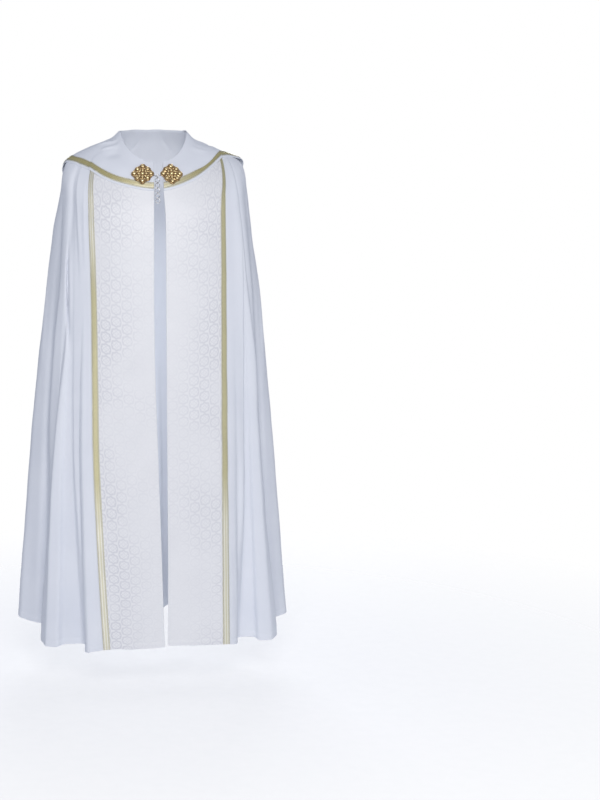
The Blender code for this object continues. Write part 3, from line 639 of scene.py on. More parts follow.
def add_piece(name, mesh, materials):
    """One object with its materials, riding on the garment."""
    obj = bpy.data.objects.new(name, mesh)
    for material in materials:
        mesh.materials.append(material)
    bpy.context.collection.objects.link(obj)
    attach(obj, "root")
    return obj


def border_of(rows, columns):
    """Indexes of the points round the edge of a grid, in order."""
    top = [(0, j) for j in range(columns - 1)]
    right = [(i, columns - 1) for i in range(rows - 1)]
    bottom = [(rows - 1, j) for j in range(columns - 1, 0, -1)]
    left = [(i, 0) for i in range(rows - 1, 0, -1)]
    return np.array([i * columns + j for i, j in top + right + bottom + left])


def shell_faces(count, rows, columns, edge):
    """Quads of the outer face, of the inner face, and of the turn between them."""
    i, j = np.meshgrid(np.arange(rows - 1), np.arange(columns - 1), indexing="ij")
    first = (i * columns + j).ravel()
    outer = np.stack([first, first + columns, first + columns + 1, first + 1], 1)
    quads = [outer, outer[:, ::-1] + count]
    turns = [2 * count + k * len(edge) + np.arange(len(edge)) for k in range(3)]
    loops = [edge, *turns, edge + count]
    for upper, lower in zip(loops, loops[1:]):
        quads.append(np.stack([upper, np.roll(upper, -1), np.roll(lower, -1), lower], 1))
    return np.concatenate(quads), len(outer)


def shell(name, sheet, wall, flat, materials, node):
    """A sheet of cloth with a rounded edge, from its (points, outward) and flat places."""
    points, out = sheet
    rows, columns = points.shape[:2]
    count = rows * columns
    edge = border_of(rows, columns)
    away = np.zeros_like(points)
    for here, inside in ((0, 1), (-1, -2)):
        away[here] += unit(points[here] - points[inside])
        away[:, here] += unit(points[:, here] - points[:, inside])
    away = unit(away.reshape(-1, 3)[edge]) * wall
    middle = points.reshape(-1, 3)
    half = out.reshape(-1, 3) * wall / 2
    faces_out, faces_in = middle + half, middle - half
    faces_out[edge] -= away * EDGE_DRAW
    faces_in[edge] -= away * EDGE_DRAW
    rim, rise = middle[edge], half[edge] * EDGE_RISE
    shoulder = away * EDGE_SHOULDER
    rings = [rim + rise + shoulder, rim + away * EDGE_BULGE, rim - rise + shoulder]
    coordinates = np.concatenate([faces_out, faces_in, *rings])
    quads, outer = shell_faces(count, rows, columns, edge)
    mesh = bpy.data.meshes.new(name)
    mesh.from_pydata(coordinates.tolist(), [], quads.tolist())
    flat = flat.reshape(-1, 2)
    flat = np.concatenate([flat, flat, *[flat[edge]] * 3])
    layer = mesh.uv_layers.new(name="flat")
    layer.data.foreach_set("uv", flat[quads.ravel()].ravel())
    inner = np.zeros(len(quads), np.int32)
    inner[outer : 2 * outer] = 1
    mesh.polygons.foreach_set("material_index", inner)
    mesh.shade_smooth()
    mesh.update()
    obj = add_piece(name, mesh, materials)
    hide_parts(node)
    return obj


def bending_columns(first, last, count, down):
    """Places around the cloth, closer together where it bends."""
    fine = np.linspace(first, last, BEND_SAMPLES)
    step = np.diff(on_cloth(fine, down), axis=0)
    turn = np.concatenate([[0], np.linalg.norm(np.diff(unit(step), axis=0), axis=1)])
    weight = np.cumsum(np.linalg.norm(step, axis=1) + turn * BEND_SHARE)
    weight = np.concatenate([[0], weight])
    return np.interp(np.linspace(0, weight[-1], count), weight, fine)


def rows_between(*stretches):
    """Ways down the cloth: each stretch gives its end and how many steps lead to it."""
    rows = [stretches[0]]
    for end, steps in stretches[1:]:
        rows += list(np.linspace(rows[-1], end, steps + 1)[1:])
    return np.array(rows)


def hem_relief(around, down, pitch):
    """The turned-up hem seen from outside: a slightly raised band with a drawn-in stitch line."""
    above = HEM_DOWN - HEM_DEPTH - down
    band = 0.5 - 0.5 * np.tanh(above / HEM_EASE)
    pull = np.exp(-((above / STITCH_REACH) ** 2))
    draw = 1 - HEM_DRAW + HEM_DRAW * np.cos(2 * np.pi * around / pitch)
    return HEM_RISE * band - HEM_PULL * pull * draw


def add_mantle(face, back):
    """The plain body of the cope, from seam to seam around the back."""
    columns = bending_columns(0.0, 1.0, MANTLE_COLUMNS, HEM_LEVEL)
    laps = np.concatenate([np.arange(*band, LAP_STEP) for band in LAP_BANDS])
    columns = np.unique(np.concatenate([columns, laps]))
    columns = columns[np.concatenate([[True], np.diff(columns) > LAP_STEP / 3])]
    step = SEAM_GAP / 2 / GIRTH
    columns[0], columns[-1] = step, 1 - step
    rows = rows_between(0.0, *MANTLE_ROWS, *HEM_ROWS)
    around, down = np.meshgrid(columns, rows)
    seam = np.minimum(around, 1 - around) * GIRTH
    pull = SEAM_PULL * np.exp(-((seam / STITCH_REACH) ** 2))
    sheet = laid(around, down, hem_relief(around, down, MANTLE_HEM_PITCH) - pull)
    flat = sector(around, down, *MANTLE_CUT)
    return shell("mantle_cloth", sheet, WALL, flat, [face, back], "mantle")


def add_orphrey(name, side, face, back):
    """The damask band along one front edge."""
    share = np.linspace(0, 1, ORPHREY_COLUMNS)
    rows = rows_between(0.0, *ORPHREY_ROWS, *HEM_ROWS[1:])
    places = -ORPHREY_SPAN * (1 - share) if side < 0 else (1 + ORPHREY_SPAN * (1 - share))[::-1]
    around, down = np.meshgrid(places, rows)
    seam = np.where(side < 0, around, 1 - around)
    around = np.where(np.abs(seam) < 1e-6, around + side * SEAM_GAP / 2 / FRONT_GIRTH, around)
    across = (around + ORPHREY_SPAN if side < 0 else 1 + ORPHREY_SPAN - around) / ORPHREY_SPAN
    past = across * ORPHREY_WIDTH - FACING_STITCH
    facing = FACING_RISE * (1 - np.tanh(past / HEM_EASE))
    pull = FACING_PULL * np.exp(-((past / FACING_REACH) ** 2))
    sheet = laid(around, down, hem_relief(around, down, ORPHREY_HEM_PITCH) + facing - pull)
    way = way_along(sheet[0])
    flat = np.stack([way if side < 0 else way - way[:, -1:], -down], -1)
    faces = [face, back]
    return shell(f"orphrey_cloth_{name}", sheet, WALL, flat, faces, f"orphrey_{name}")


def braid_relief(across):
    """The section of the galloon: raised border cords and a slightly cushioned middle."""
    edge = BRAID_WIDTH / 2 - np.abs(across - BRAID_WIDTH / 2)
    height = BRAID_CUSHION * np.clip(edge / BRAID_EDGE[-1], 0, 1)
    for place, reach, high in (BRAID_CORD, BRAID_GROOVE):
        height = height + high * np.exp(-(((edge - place) / reach) ** 2))
    return height


def beside_seam(side, down, across):
    """Places at even distances inside a front seam, one row for each way down the cloth."""
    fine = np.linspace(0, ORPHREY_SPAN / 4, SEAM_SAMPLES)
    around = -fine if side < 0 else 1 + fine
    way = way_along(on_cloth(*np.meshgrid(around, down)))
    return np.stack([np.interp(across, row, around) for row in way])


def add_front_galloon(name, side, braid):
    """The galloon sewn along one orphrey's outer edge, from under the hood to the hem."""
    rows = rows_between(BRAID_TOP, (HEM_DOWN, GALLOON_ROWS))
    across = np.maximum(BRAID_ACROSS, SEAM_GAP / 2)
    around = beside_seam(side, rows, across)
    down = np.broadcast_to(rows[:, None], around.shape)
    offset = np.broadcast_to(BRAID_ACROSS, around.shape)
    if side < 0:
        around, offset = around[:, ::-1], offset[:, ::-1]
    nearest = np.minimum(offset, BRAID_WIDTH - offset)
    pucker = PUCKER_HEIGHT * np.sin(2 * np.pi * down / PUCKER_LENGTH)
    pucker *= np.exp(-((nearest / PUCKER_REACH) ** 2))
    lift = (WALL + BRAID_THICKNESS) / 2 + SEAM_GAP + braid_relief(offset) + pucker
    sheet = laid(around, down, lift)
    flat = np.stack([offset, down], -1)
    faces = [braid, braid]
    node = f"galloon_{name}"
    return shell(f"braid_{name}", sheet, BRAID_THICKNESS, flat, faces, node)


def hood_waves(around, down):
    """The hood's own slight waves: it hangs free of the mantle below the shoulders."""
    start, run = HOOD_FREE
    free = np.clip((down - start) / run, 0, 1)
    drag = sum(np.sin(a * around + b * down + c) * share for a, b, c, share in HOOD_DRAGS)
    point = np.exp(-(((around - BACK_POINT) / POINT_SPREAD) ** 2))
    return free * (HOOD_WAVE * drag + POINT_RISE * point)


def hood_height(around, down):
    """How far the hood's middle stands out from the mantle's, less where its edge lies on it."""
    inside = hood_depth(np.asarray(around)) - down
    free = np.clip(inside / HOOD_EDGE_RUN, 0, 1)
    free = free * free * (3 - 2 * free)
    high = hood_lift(down) + hood_waves(around, down) + HOOD_WAVE
    edge = HOOD_EDGE_LIFT
    for middle, spread, flare in HOOD_FLARES:
        edge = edge + flare * np.exp(-(((around - middle) / spread) ** 2))
    for middle in (-BRAID_WIDTH / YOKE_GIRTH, 1 + BRAID_WIDTH / YOKE_GIRTH):
        edge = edge + OVER_BRAID * np.exp(-(((around - middle) / BRAID_WIDTH) ** 4))
    return edge + (np.maximum(high, edge * HOOD_KEPT) - edge) * free


def hood_lines(around, insets):
    """Lines inside the hood's edge, one row for each inset."""
    inside = [inside_hood_edge(around, inset) for inset in insets if inset > 0]
    return np.stack(inside if min(insets) > 0 else [*inside, hood_depth(around)])


def hood_columns(side):
    """Places around the hood's left (-1) or right (1) half, shared by its cloth and its galloon."""
    return bending_columns(*hood_ends(side), HOOD_COLUMNS_HALF, YOKE_LEVEL)


def add_hood(face, back):
    """The hood, from the neck to its point at the back."""
    around = np.concatenate([hood_columns(-1), hood_columns(1)[1:]])
    insets = np.concatenate([HOOD_MARGIN + BRAID_ACROSS[::-1], HOOD_EDGE_INSETS])
    lines = hood_lines(around, insets)
    shares = np.linspace(0, 1, HOOD_ROWS, endpoint=False) ** HOOD_ROW_EASE
    down = np.concatenate([shares[:, None] * lines[0], lines])
    around = np.broadcast_to(around, down.shape)
    sheet = laid(around, down, hood_height(around, down))
    flat = sector(around, down, *HOOD_CUT)
    return shell("hood_cloth", sheet, HOOD_WALL, flat, [face, back], "hood")


def add_hood_galloon(name, side, braid):
    """One half of the galloon along the hood's edge; the halves meet in a mitre at the point."""
    around = hood_columns(side)
    around[-1 if side < 0 else 0] = BACK_POINT + side * MITRE_GAP
    down = hood_lines(around, HOOD_MARGIN + BRAID_ACROSS)[::-1]
    around = np.broadcast_to(around, down.shape)
    offset = np.broadcast_to(BRAID_ACROSS[::-1, None], down.shape)
    lift = (HOOD_WALL + BRAID_THICKNESS) / 2 + SEAM_GAP + braid_relief(offset)
    sheet = laid(around, down, hood_height(around, down) + lift)
    along = way_along(sheet[0][len(BRAID_ACROSS) // 2])
    if side < 0:
        along = along - along[-1]
    flat = np.stack([offset, np.broadcast_to(along, down.shape)], -1)
    faces = [braid, braid]
    node = f"hood_galloon_{name}"
    return shell(f"hood_braid_{name}", sheet, BRAID_THICKNESS, flat, faces, node)


# --- materials ---


def colour(code):
    """An sRGB hex colour as linear RGBA."""
    parts = [int(code[k : k + 2], 16) / 255 for k in (1, 3, 5)]
    return (*(p / 12.92 if p <= 0.04045 else ((p + 0.055) / 1.055) ** 2.4 for p in parts), 1.0)


def add(tree, kind, *values, out=0, named=(), **settings):
    """Adds a node, such as "Math SINE", with its settings, fills its inputs and returns an output."""
    kind, _, operation = kind.partition(" ")
    node = tree.nodes.new("ShaderNode" + kind)
    if operation:
        node.operation = operation
    for key, value in settings.items():
        setattr(node, key, value)
    fill(tree, node, [*enumerate(values), *dict(named).items()])
    return node.outputs[out]


def fill(tree, node, values):
    """Links or sets inputs, each given by its place or name; a None leaves one alone."""
    for key, value in values:
        if isinstance(value, bpy.types.NodeSocket):
            tree.links.new(value, node.inputs[key])
        elif value is not None:
            node.inputs[key].default_value = value


def new_material(name):
    """A material, and the function that adds nodes to it."""
    material = bpy.data.materials.new(name)
    material.use_nodes = True
    return material, partial(add, material.node_tree)


def dress(material, height, depth, **inputs):
    """Fills the shader's inputs and raises the surface by the height (0 to 1) times the depth."""
    tree = material.node_tree
    inputs = [(name.replace("_", " "), value) for name, value in inputs.items()]
    relief = add(tree, "Bump", named={"Height": height, "Distance": depth, "Strength": 1.0})
    fill(tree, tree.nodes["Principled BSDF"], [*inputs, ("Normal", relief)])
    return material


def flat_place(node):
    """Where the surface lies on its flat cut, in metres."""
    place = node("UVMap", uv_map="flat")
    return node("SeparateXYZ", place), node("SeparateXYZ", place, out=1)


def mottle(node, scale, detail=3.0, stretch=(1, 1, 1)):
    """Slow unevenness in the object's own space, around 0.5."""
    place = node("Mapping", node("TexCoord", out="Object"), named={"Scale": stretch})
    return node("TexNoise", named={"Vector": place, "Scale": scale, "Detail": detail})


def ribs(node, x, y, pitch, slope):
    """A diagonal rib of the weave: 0 in the groove and 1 on the rib."""
    run = node("Math MULTIPLY_ADD", y, slope, x)
    wave = node("Math SINE", node("Math MULTIPLY", run, 2 * math.pi / pitch))
    return node("Math MULTIPLY_ADD", wave, 0.5, 0.5)


def twill_cloth(name, light, dark):
    """Wool and polyester twill, 2/2, of soft yarn, pressed: a matt face with a slight bloom."""
    material, node = new_material(name)
    x, y = flat_place(node)
    rib = ribs(node, x, y, TWILL_PITCH, TWILL_SLOPE)
    yarn = ribs(node, y, x, YARN_PITCH, -0.3)
    cloud = mottle(node, 9.0)
    nap = mottle(node, 700.0, 2.0)
    # The rib and the nap are painted a little darker where the bump sinks them: painted shade in the weave.
    # The cloud is tone that varies at random.
    share = node("Math MULTIPLY_ADD", rib, 0.2, node("Math MULTIPLY", cloud, 0.6))
    share = node("Math MULTIPLY_ADD", nap, 0.2, share)
    weave = node("Math MULTIPLY_ADD", yarn, 0.35, rib)
    return dress(
        material,
        height=node("Math MULTIPLY_ADD", nap, 0.5, weave),
        depth=TWILL_RELIEF,
        Base_Color=node("MixRGB", share, colour(dark), colour(light)),
        Roughness=node("Math MULTIPLY_ADD", cloud, -0.08, 0.86),
        Specular_IOR_Level=0.25,
        Sheen_Weight=0.18,
        Sheen_Roughness=0.5,
    )


def lobed_ring(node, x, y, radius, lobes, depth, width):
    """A lobed line round a middle: 1 on the line."""
    away = node("Math SQRT", node("Math MULTIPLY_ADD", x, x, node("Math MULTIPLY", y, y)))
    turn = node("Math ARCTAN2", y, x)
    wave = node("Math COSINE", node("Math MULTIPLY", turn, float(lobes)))
    reach = node("Math MULTIPLY_ADD", wave, depth, radius)
    gap = node("Math ABSOLUTE", node("Math SUBTRACT", away, reach))
    return node("MapRange", gap, width * 0.74, width * 0.26)


def half_drop_cell(node, x, y, column, repeat):
    """The place inside a cell of a half-drop repeat, measured from the cell's middle."""
    across = node("Math DIVIDE", x, column)
    which = node("Math FLOOR", across)
    fall = node("Math MULTIPLY_ADD", which, 0.5, node("Math DIVIDE", y, repeat))
    u = node("Math SUBTRACT", node("Math FRACT", across), 0.5)
    v = node("Math SUBTRACT", node("Math FRACT", fall), 0.5)
    return node("Math MULTIPLY", u, column), node("Math MULTIPLY", v, repeat)


def damask_figure(node, x, y):
    """Touching lobed rings, each round a small filled rosette."""
    u, v = half_drop_cell(node, x, y, RING_COLUMN, RING_REPEAT)
    rings = lobed_ring(node, u, v, *DAMASK_RING)
    rosettes = lobed_ring(node, u, v, *DAMASK_ROSETTE)
    return node("Math MAXIMUM", rings, node("Math MULTIPLY", rosettes, 0.7))


def damask():
    """Viscose damask: a lustrous satin ground, and duller figures where the weft comes up."""
    material, node = new_material("white_damask")
    x, y = flat_place(node)
    crushed = node("MapRange", mottle(node, 6.0, 1.0), 0.40, 0.62, 0.25, 1.0)
    # pressed fades the figure towards the front edges: painted glare, standing for the light that washes the
    # figure out where the cloth faces it. The crushed mottle is tone that varies at random.
    pressed = node("MapRange", node("Math ABSOLUTE", x), 0.02, 0.12, 0.3, 1.0)
    mottle_and_glare_fade = node("Math MULTIPLY", crushed, pressed)
    figure = node("Math MULTIPLY", damask_figure(node, x, y), mottle_and_glare_fade)
    cloud = mottle(node, 12.0)
    ground = node("MixRGB", cloud, colour("#EFEFF1"), colour("#F6F6F7"))
    drawn = node("MixRGB", cloud, colour("#DBDBE0"), colour("#E3E3E7"))
    rough = node("Math MULTIPLY_ADD", figure, 0.24, 0.40)
    warp = ribs(node, x, y, DAMASK_YARN, 0.0)
    weft = ribs(node, y, x, DAMASK_YARN, 0.0)
    yarn = node("MixRGB", figure, warp, weft)
    return dress(
        material,
        height=node("Math MULTIPLY_ADD", figure, 1.6, node("Math MULTIPLY", yarn, 0.4)),
        depth=DAMASK_RELIEF,
        Base_Color=node("MixRGB", figure, ground, drawn),
        Roughness=node("Math MULTIPLY_ADD", cloud, 0.08, rough),
        Sheen_Weight=0.1,
    )


def galloon(name, dim_at, dim_reach, dull, pale):
    """Woven galloon: rayon ground, a trellis of gold lurex and corded borders.

    The ground is painted dull gold within a reach of one place and pale beyond: a painted reflection, dim
    there and brighter elsewhere.
    """
    material, node = new_material(name)
    across, along = flat_place(node)
    middle = node("Math SUBTRACT", across, BRAID_WIDTH / 2)
    strands = []
    for way in ("ADD", "SUBTRACT"):
        turn = node("Math MULTIPLY", node("Math " + way, middle, along), math.pi / LATTICE_PITCH)
        wave = node("Math ABSOLUTE", node("Math SINE", turn))
        strands.append(node("MapRange", wave, *STRAND_EDGE))
    trellis = node("Math MAXIMUM", *strands)
    crossing = node("Math MINIMUM", *strands)
    edge = node("Math SUBTRACT", BRAID_WIDTH / 2, node("Math ABSOLUTE", middle))
    border = node("MapRange", edge, 0.0030, 0.0026)
    # A dark line along each border groove: painted shade in the groove.
    aside = node("Math ABSOLUTE", node("Math SUBTRACT", edge, 0.0032))
    groove = node("MapRange", aside, 0.0007, 0.0002)
    core = node("MapRange", edge, 0.0055, 0.0080)
    cord = ribs(node, across, along, 0.0016, 1.4)
    # Bright flecks on the lurex: painted glints.
    glint = node("MapRange", mottle(node, 900.0, 1.0), 0.42, 0.62)
    # Painted reflection: the ground is painted dull gold within a reach of one place, as if it reflected dim
    # surroundings, and pale beyond; the braid's middle keeps more of the dull colour.
    away = node("Math ABSOLUTE", node("Math SUBTRACT", along, dim_at))
    lit_share = node("MapRange", away, dim_reach, dim_reach + DIM_FADE)
    lit_share = node("Math MULTIPLY", lit_share, node("Math MULTIPLY_ADD", core, -0.55, 1.0))
    ground = node("MixRGB", lit_share, colour(dull), colour(pale))
    gold = node("MixRGB", glint, ground, colour("#EFE7C0"))
    figured = node("MixRGB", node("Math MULTIPLY", trellis, 0.75), ground, gold)
    # The border cord is painted darker between its twists, where the bump sinks it: painted shade.
    edging = node("MixRGB", cord, colour("#C9C3A4"), colour("#EFECDD"))
    tint = node("MixRGB", border, figured, edging)
    lurex = node("Math MAXIMUM", trellis, border)
    picks = ribs(node, along, across, 0.0007, 0.0)
    height = node("Math MULTIPLY_ADD", crossing, 0.7, trellis)
    height = node("Math MULTIPLY_ADD", picks, 0.35, height)
    return dress(
        material,
        height=node("Math MULTIPLY_ADD", node("Math MULTIPLY", cord, border), 1.4, height),
        depth=BRAID_RELIEF,
        Base_Color=node("MixRGB", node("Math MULTIPLY", groove, 0.6), tint, colour("#8E8558")),
        Metallic=node("Math MULTIPLY_ADD", lurex, 0.3, 0.25),
        Roughness=node("Math MULTIPLY_ADD", lurex, -0.12, 0.5),
    )


def thread(name, light, dark):
    """Spun polyester sewing thread: dull, with its twist showing."""
    material, node = new_material(name)
    # The twist is painted darker where the bump sinks it: painted shade on the thread.
    twist = mottle(node, 1400.0, 1.0)
    return dress(
        material,
        height=twist,
        depth=0.00004,
        Base_Color=node("MixRGB", twist, colour(dark), colour(light)),
        Roughness=0.55,
        Sheen_Weight=0.15,
    )


def antique_gold():
    """Cast zinc alloy, gold plated, then darkened in its hollows and rubbed bright on top."""
    material, node = new_material("antique_gold_casting")
    raised = node("Attribute", attribute_name="raised", out="Fac")
    cloud = mottle(node, 160.0, 4.0)
    share = node("Math MULTIPLY_ADD", node("Math SUBTRACT", cloud, 0.5), 0.9, raised)
    worn = node("MapRange", share, 0.0, 0.75)
    return dress(
        material,
        height=cloud,
        depth=0.0001,
        Base_Color=node("MixRGB", worn, colour("#7A4B18"), colour("#FFE6AE")),
        Metallic=0.5,
        Roughness=node("Math MULTIPLY_ADD", worn, -0.30, 0.52),
    )


def silver_wire():
    """Nickel-plated steel wire, drawn and bent: bright, with fine draw lines."""
    material, node = new_material("nickel_plated_wire")
    cloud = mottle(node, 240.0, 4.0)
    return dress(
        material,
        height=mottle(node, 1200.0, 2.0, (1, 1, 5)),
        depth=0.00002,
        Base_Color=node("MixRGB", cloud, colour("#9C9A98"), colour("#E2E0DC")),
        Metallic=1.0,
        Roughness=node("Math MULTIPLY_ADD", cloud, 0.22, 0.16),
    )


def studio_floor():
    """Matt studio paper, pale, that fades out round the part."""
    material, node = new_material("studio_paper")
    far = node("VectorMath LENGTH", node("TexCoord", out="Object"), out="Value")
    grain = mottle(node, 30.0)
    return dress(
        material,
        height=grain,
        depth=0.0002,
        Base_Color=node("MixRGB", grain, colour("#ECEDF0"), colour("#F4F4F6")),
        Roughness=0.9,
        Alpha=node("MapRange", far, FLOOR_RADIUS, FLOOR_RADIUS * 0.25),
        Emission_Color=colour("#F6F8FF"),
        Emission_Strength=FLOOR_GLOW,
    )


# --- metal ---


def start_piece():
    """Deselects everything, as before each new primitive."""
    bpy.ops.object.select_all(action="DESELECT")


def select_faces(obj, test):
    """Selects the faces whose middle and normal pass the test, for the edit mode that follows."""
    bpy.ops.object.mode_set(mode="EDIT")
    bpy.ops.mesh.select_mode(type="FACE")
    bpy.ops.mesh.select_all(action="DESELECT")
    bpy.ops.object.mode_set(mode="OBJECT")
    for face in obj.data.polygons:
        face.select = bool(test(face.center, face.normal))
    bpy.ops.object.mode_set(mode="EDIT")


def resize(obj, amounts):
    """Stretches or flattens a piece in edit mode, about its own middle."""
    bpy.ops.object.mode_set(mode="EDIT")
    bpy.ops.mesh.select_all(action="SELECT")
    bpy.ops.transform.resize(value=amounts)
    bpy.ops.object.mode_set(mode="OBJECT")
    return obj


def copies(obj, count, first):
    """Copies of a piece turned evenly about Z, each with its own mesh; the first is the piece."""
    made = []
    for number in range(count):
        piece = obj if number == 0 else obj.copy()
        if number:
            piece.data = obj.data.copy()
            bpy.context.collection.objects.link(piece)
        made.append(piece)
    for number, piece in enumerate(made):
        turn = Matrix.Rotation(first + 2 * math.pi * number / count, 4, "Z")
        piece.matrix_world = turn @ piece.matrix_world
    return made


def disc(radius, thick, away, height, sides):
    """A cast disc with a rolled rim and a sunk face."""
    start_piece()
    place = (away, 0, height + thick / 2)
    bpy.ops.mesh.primitive_cylinder_add(vertices=sides, radius=radius, depth=thick, location=place)
    obj = bpy.context.object
    select_faces(obj, lambda middle, normal: normal.z > 0.9)
    bpy.ops.mesh.inset(thickness=radius * 0.1)
    bpy.ops.mesh.inset(thickness=radius * 0.05)
    bpy.ops.transform.translate(value=(0, 0, -thick * 0.3))
    bpy.ops.mesh.select_all(action="SELECT")
    bpy.ops.mesh.normals_make_consistent(inside=False)
    bpy.ops.object.mode_set(mode="OBJECT")
    soften = obj.modifiers.new("rounding", "BEVEL")
    soften.width = thick * 0.18
    soften.segments = 2
    bpy.ops.object.modifier_apply(modifier=soften.name)
    return obj


def wire_ring(radius, wire, away, height, steps=28):
    """A ring of beaded wire soldered flat on the plate."""
    start_piece()
    bpy.ops.mesh.primitive_torus_add(
        major_radius=radius, minor_radius=wire / 2, major_segments=steps, minor_segments=8,
        location=(away, 0, height + wire * 0.38),
    )  # fmt: skip
    return resize(bpy.context.object, (1, 1, 1.15))


def bead(radius, away, height, flatten=0.8):
    """A cast bead, a little flattened."""
    start_piece()
    bpy.ops.mesh.primitive_uv_sphere_add(
        segments=14, ring_count=8, radius=radius, location=(away, 0, height + radius * 0.5)
    )
    return resize(bpy.context.object, (1, 1, flatten))


def clasp_frame(place):
    """The matrix that seats a clasp on the hood, its face along local Z."""
    lift = float(hood_lift(place[1])) + HOOD_WALL / 2 + CLASP_LIFT
    seat, out = (Vector(value) for value in laid(*place, lift))
    across = Vector((0, 0, 1)).cross(out).normalized()
    turn = Matrix((across, out.cross(across), out)).transposed()
    return Matrix.Translation(seat) @ turn.to_4x4()


def paint_raised(obj, low, high):
    """An attribute of how far each point stands above the plate, 0 to 1."""
    heights = np.empty(len(obj.data.vertices) * 3)
    obj.data.vertices.foreach_get("co", heights)
    share = np.clip((heights.reshape(-1, 3)[:, 2] - low) / (high - low), 0, 1)
    obj.data.attributes.new("raised", "FLOAT", "POINT").data.foreach_set("value", share)


def join(pieces, name):
    """One object from several."""
    start_piece()
    for piece in pieces:
        piece.select_set(True)
    bpy.context.view_layer.objects.active = pieces[0]
    bpy.ops.object.join()
    obj = bpy.context.object
    obj.name = name
    obj.data.name = name
    return obj


def settle(obj, matrix, material, body, node):
    """Puts a finished piece in its place, with the place in its mesh."""
    obj.data.materials.clear()
    obj.data.materials.append(material)
    obj.matrix_world = matrix
    start_piece()
    obj.select_set(True)
    bpy.context.view_layer.objects.active = obj
    bpy.ops.object.transform_apply(location=True, rotation=True, scale=True)
    bpy.ops.object.shade_smooth_by_angle(angle=SMOOTH_ANGLE)
    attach(obj, body)
    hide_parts(node)
    return obj


def add_clasp(name, material):
    """One filigree rosette: a lobed plate, petal rings with beads, and a centre boss."""
    plate = CLASP_PLATE
    pieces = [disc(CLASP_MIDDLE, plate, 0, 0.0, 48)]
    for away, radius, boss, first in CLASP_PETALS:
        for part in (
            disc(radius, plate * 0.92, away, 0.0, 32),
            wire_ring(radius * 0.84, PETAL_WIRE, away, plate * 0.9),
            bead(boss, away, plate * 0.9, 0.62),
            wire_ring(boss * 1.25, BOSS_WIRE, away, plate),
        ):
            pieces += copies(part, 4, first)
    for radius, away, high, flatten, count, first in CLASP_BEADS:
        pieces += copies(bead(radius, away, plate * high, flatten), count, first)
    pieces += copies(wire_ring(*CLASP_RING, plate), 4, 0.0)
    pieces += [wire_ring(*CLASP_COLLAR, plate, 36), bead(CLASP_BOSS, 0, plate, 0.66)]
    obj = join(pieces, f"rosette_{name}")
    paint_raised(obj, plate * 0.7, plate * 2.1)
    seat = clasp_frame(CLASP_PLACES[name])
    return settle(obj, seat, material, "root", f"clasp_{name}")


def clasp_tip(name):
    """Where a wire is soldered beside the lobe that faces the other clasp."""
    side = 1 if name == "left" else -1
    reach = CLASP_RADIUS * (1 + CLASP_LOBE_DEPTH) - SOLDER_DEPTH
    return clasp_frame(CLASP_PLACES[name]) @ Vector((side * reach, 0, CLASP_PLATE / 2))


def add_wire(name, points, material, node):
    """A round wire bent through the points, its ends rounded off."""
    start_piece()
    bpy.ops.curve.primitive_nurbs_path_add()
    obj = bpy.context.object
    curve = obj.data
    curve.splines.clear()
    spline = curve.splines.new("NURBS")
    spline.points.add(len(points) - 1)
    for point, place in zip(spline.points, points):
        point.co = (*place, 1)
    spline.use_endpoint_u = True
    spline.order_u = 4
    spline.resolution_u = 8
    curve.bevel_depth = WIRE / 2
    curve.bevel_resolution = 4
    curve.use_fill_caps = True
    bpy.ops.object.convert(target="MESH")
    obj = bpy.context.object
    obj.name = name
    return settle(obj, Matrix(), material, "root", node)


def chain_place(across, fall):
    """A point of the chain's plane, measured from the middle of the eye."""
    down = Vector((0, -math.sin(CHAIN_SLOPE), -math.cos(CHAIN_SLOPE)))
    return EYE_CENTRE + Vector((across, 0, 0)) + down * fall


def add_ring(name, middle, radius, wire, edge_on, material, body, node):
    """One ring of bent wire, its ends butted and soldered."""
    start_piece()
    bpy.ops.mesh.primitive_torus_add(
        major_radius=radius, minor_radius=wire / 2, major_segments=56, minor_segments=14
    )
    obj = bpy.context.object
    obj.name = name
    select_faces(obj, lambda middle, normal: middle.y > 0 and abs(middle.x) < wire * 0.4)
    bpy.ops.transform.resize(value=(1, 1.0, 1.12))
    bpy.ops.object.mode_set(mode="OBJECT")
    lean = Matrix.Translation(middle) @ Matrix.Rotation(math.pi / 2 - CHAIN_SLOPE, 4, "X")
    if edge_on:
        lean = lean @ Matrix.Rotation(math.pi / 2, 4, "Y")
    return settle(obj, lean, material, body, node)


def add_closure(material):
    """The hook, the eye that it has caught, and the chain that hangs from the eye."""
    add_wire("bent_hook", [clasp_tip("left"), *HOOK_BENDS], material, "clasp_hook")
    turns = np.radians(np.linspace(*EYE_TURN, 22))
    loop = [chain_place(EYE_RADIUS * math.cos(t), -EYE_RADIUS * math.sin(t)) for t in turns]
    add_wire("bent_eye", [clasp_tip("right"), *EYE_SHANK, *loop], material, "clasp_eye")
    seat = (WIRE + LINK_WIRE) / 2 + METAL_PLAY
    pitch = 2 * (RING_RADIUS + LINK_RADIUS - seat)
    pivot = EYE_RADIUS
    for number in range(1, CHAIN_RINGS + 1):
        for kind, fall, radius, wire in (
            ("link", pivot + LINK_RADIUS - seat, LINK_RADIUS, LINK_WIRE),
            ("ring", pivot + 2 * (LINK_RADIUS - seat) + RING_RADIUS, RING_RADIUS, WIRE),
        ):
            turned = (chain_place(0, fall), radius, wire, kind == "link")
            node = f"chain_{kind}_{number}"
            add_ring(f"{kind}_{number}", *turned, material, f"chain_{number}", node)
        pivot += pitch


# --- sewing ---


def stitch_form():
    """One stitch of thread, along X: points and faces, shaped from a ball."""
    start_piece()
    bpy.ops.mesh.primitive_uv_sphere_add(
        segments=5, ring_count=4, radius=1.0, rotation=(0, math.pi / 2, 0)
    )
    bpy.ops.object.transform_apply(location=False, rotation=True, scale=True)
    obj = resize(bpy.context.object, (0.5, 0.5, 0.36))
    points = np.array([tuple(vertex.co) for vertex in obj.data.vertices])
    faces = [list(face.vertices) for face in obj.data.polygons]
    bpy.data.objects.remove(obj)
    return points, faces


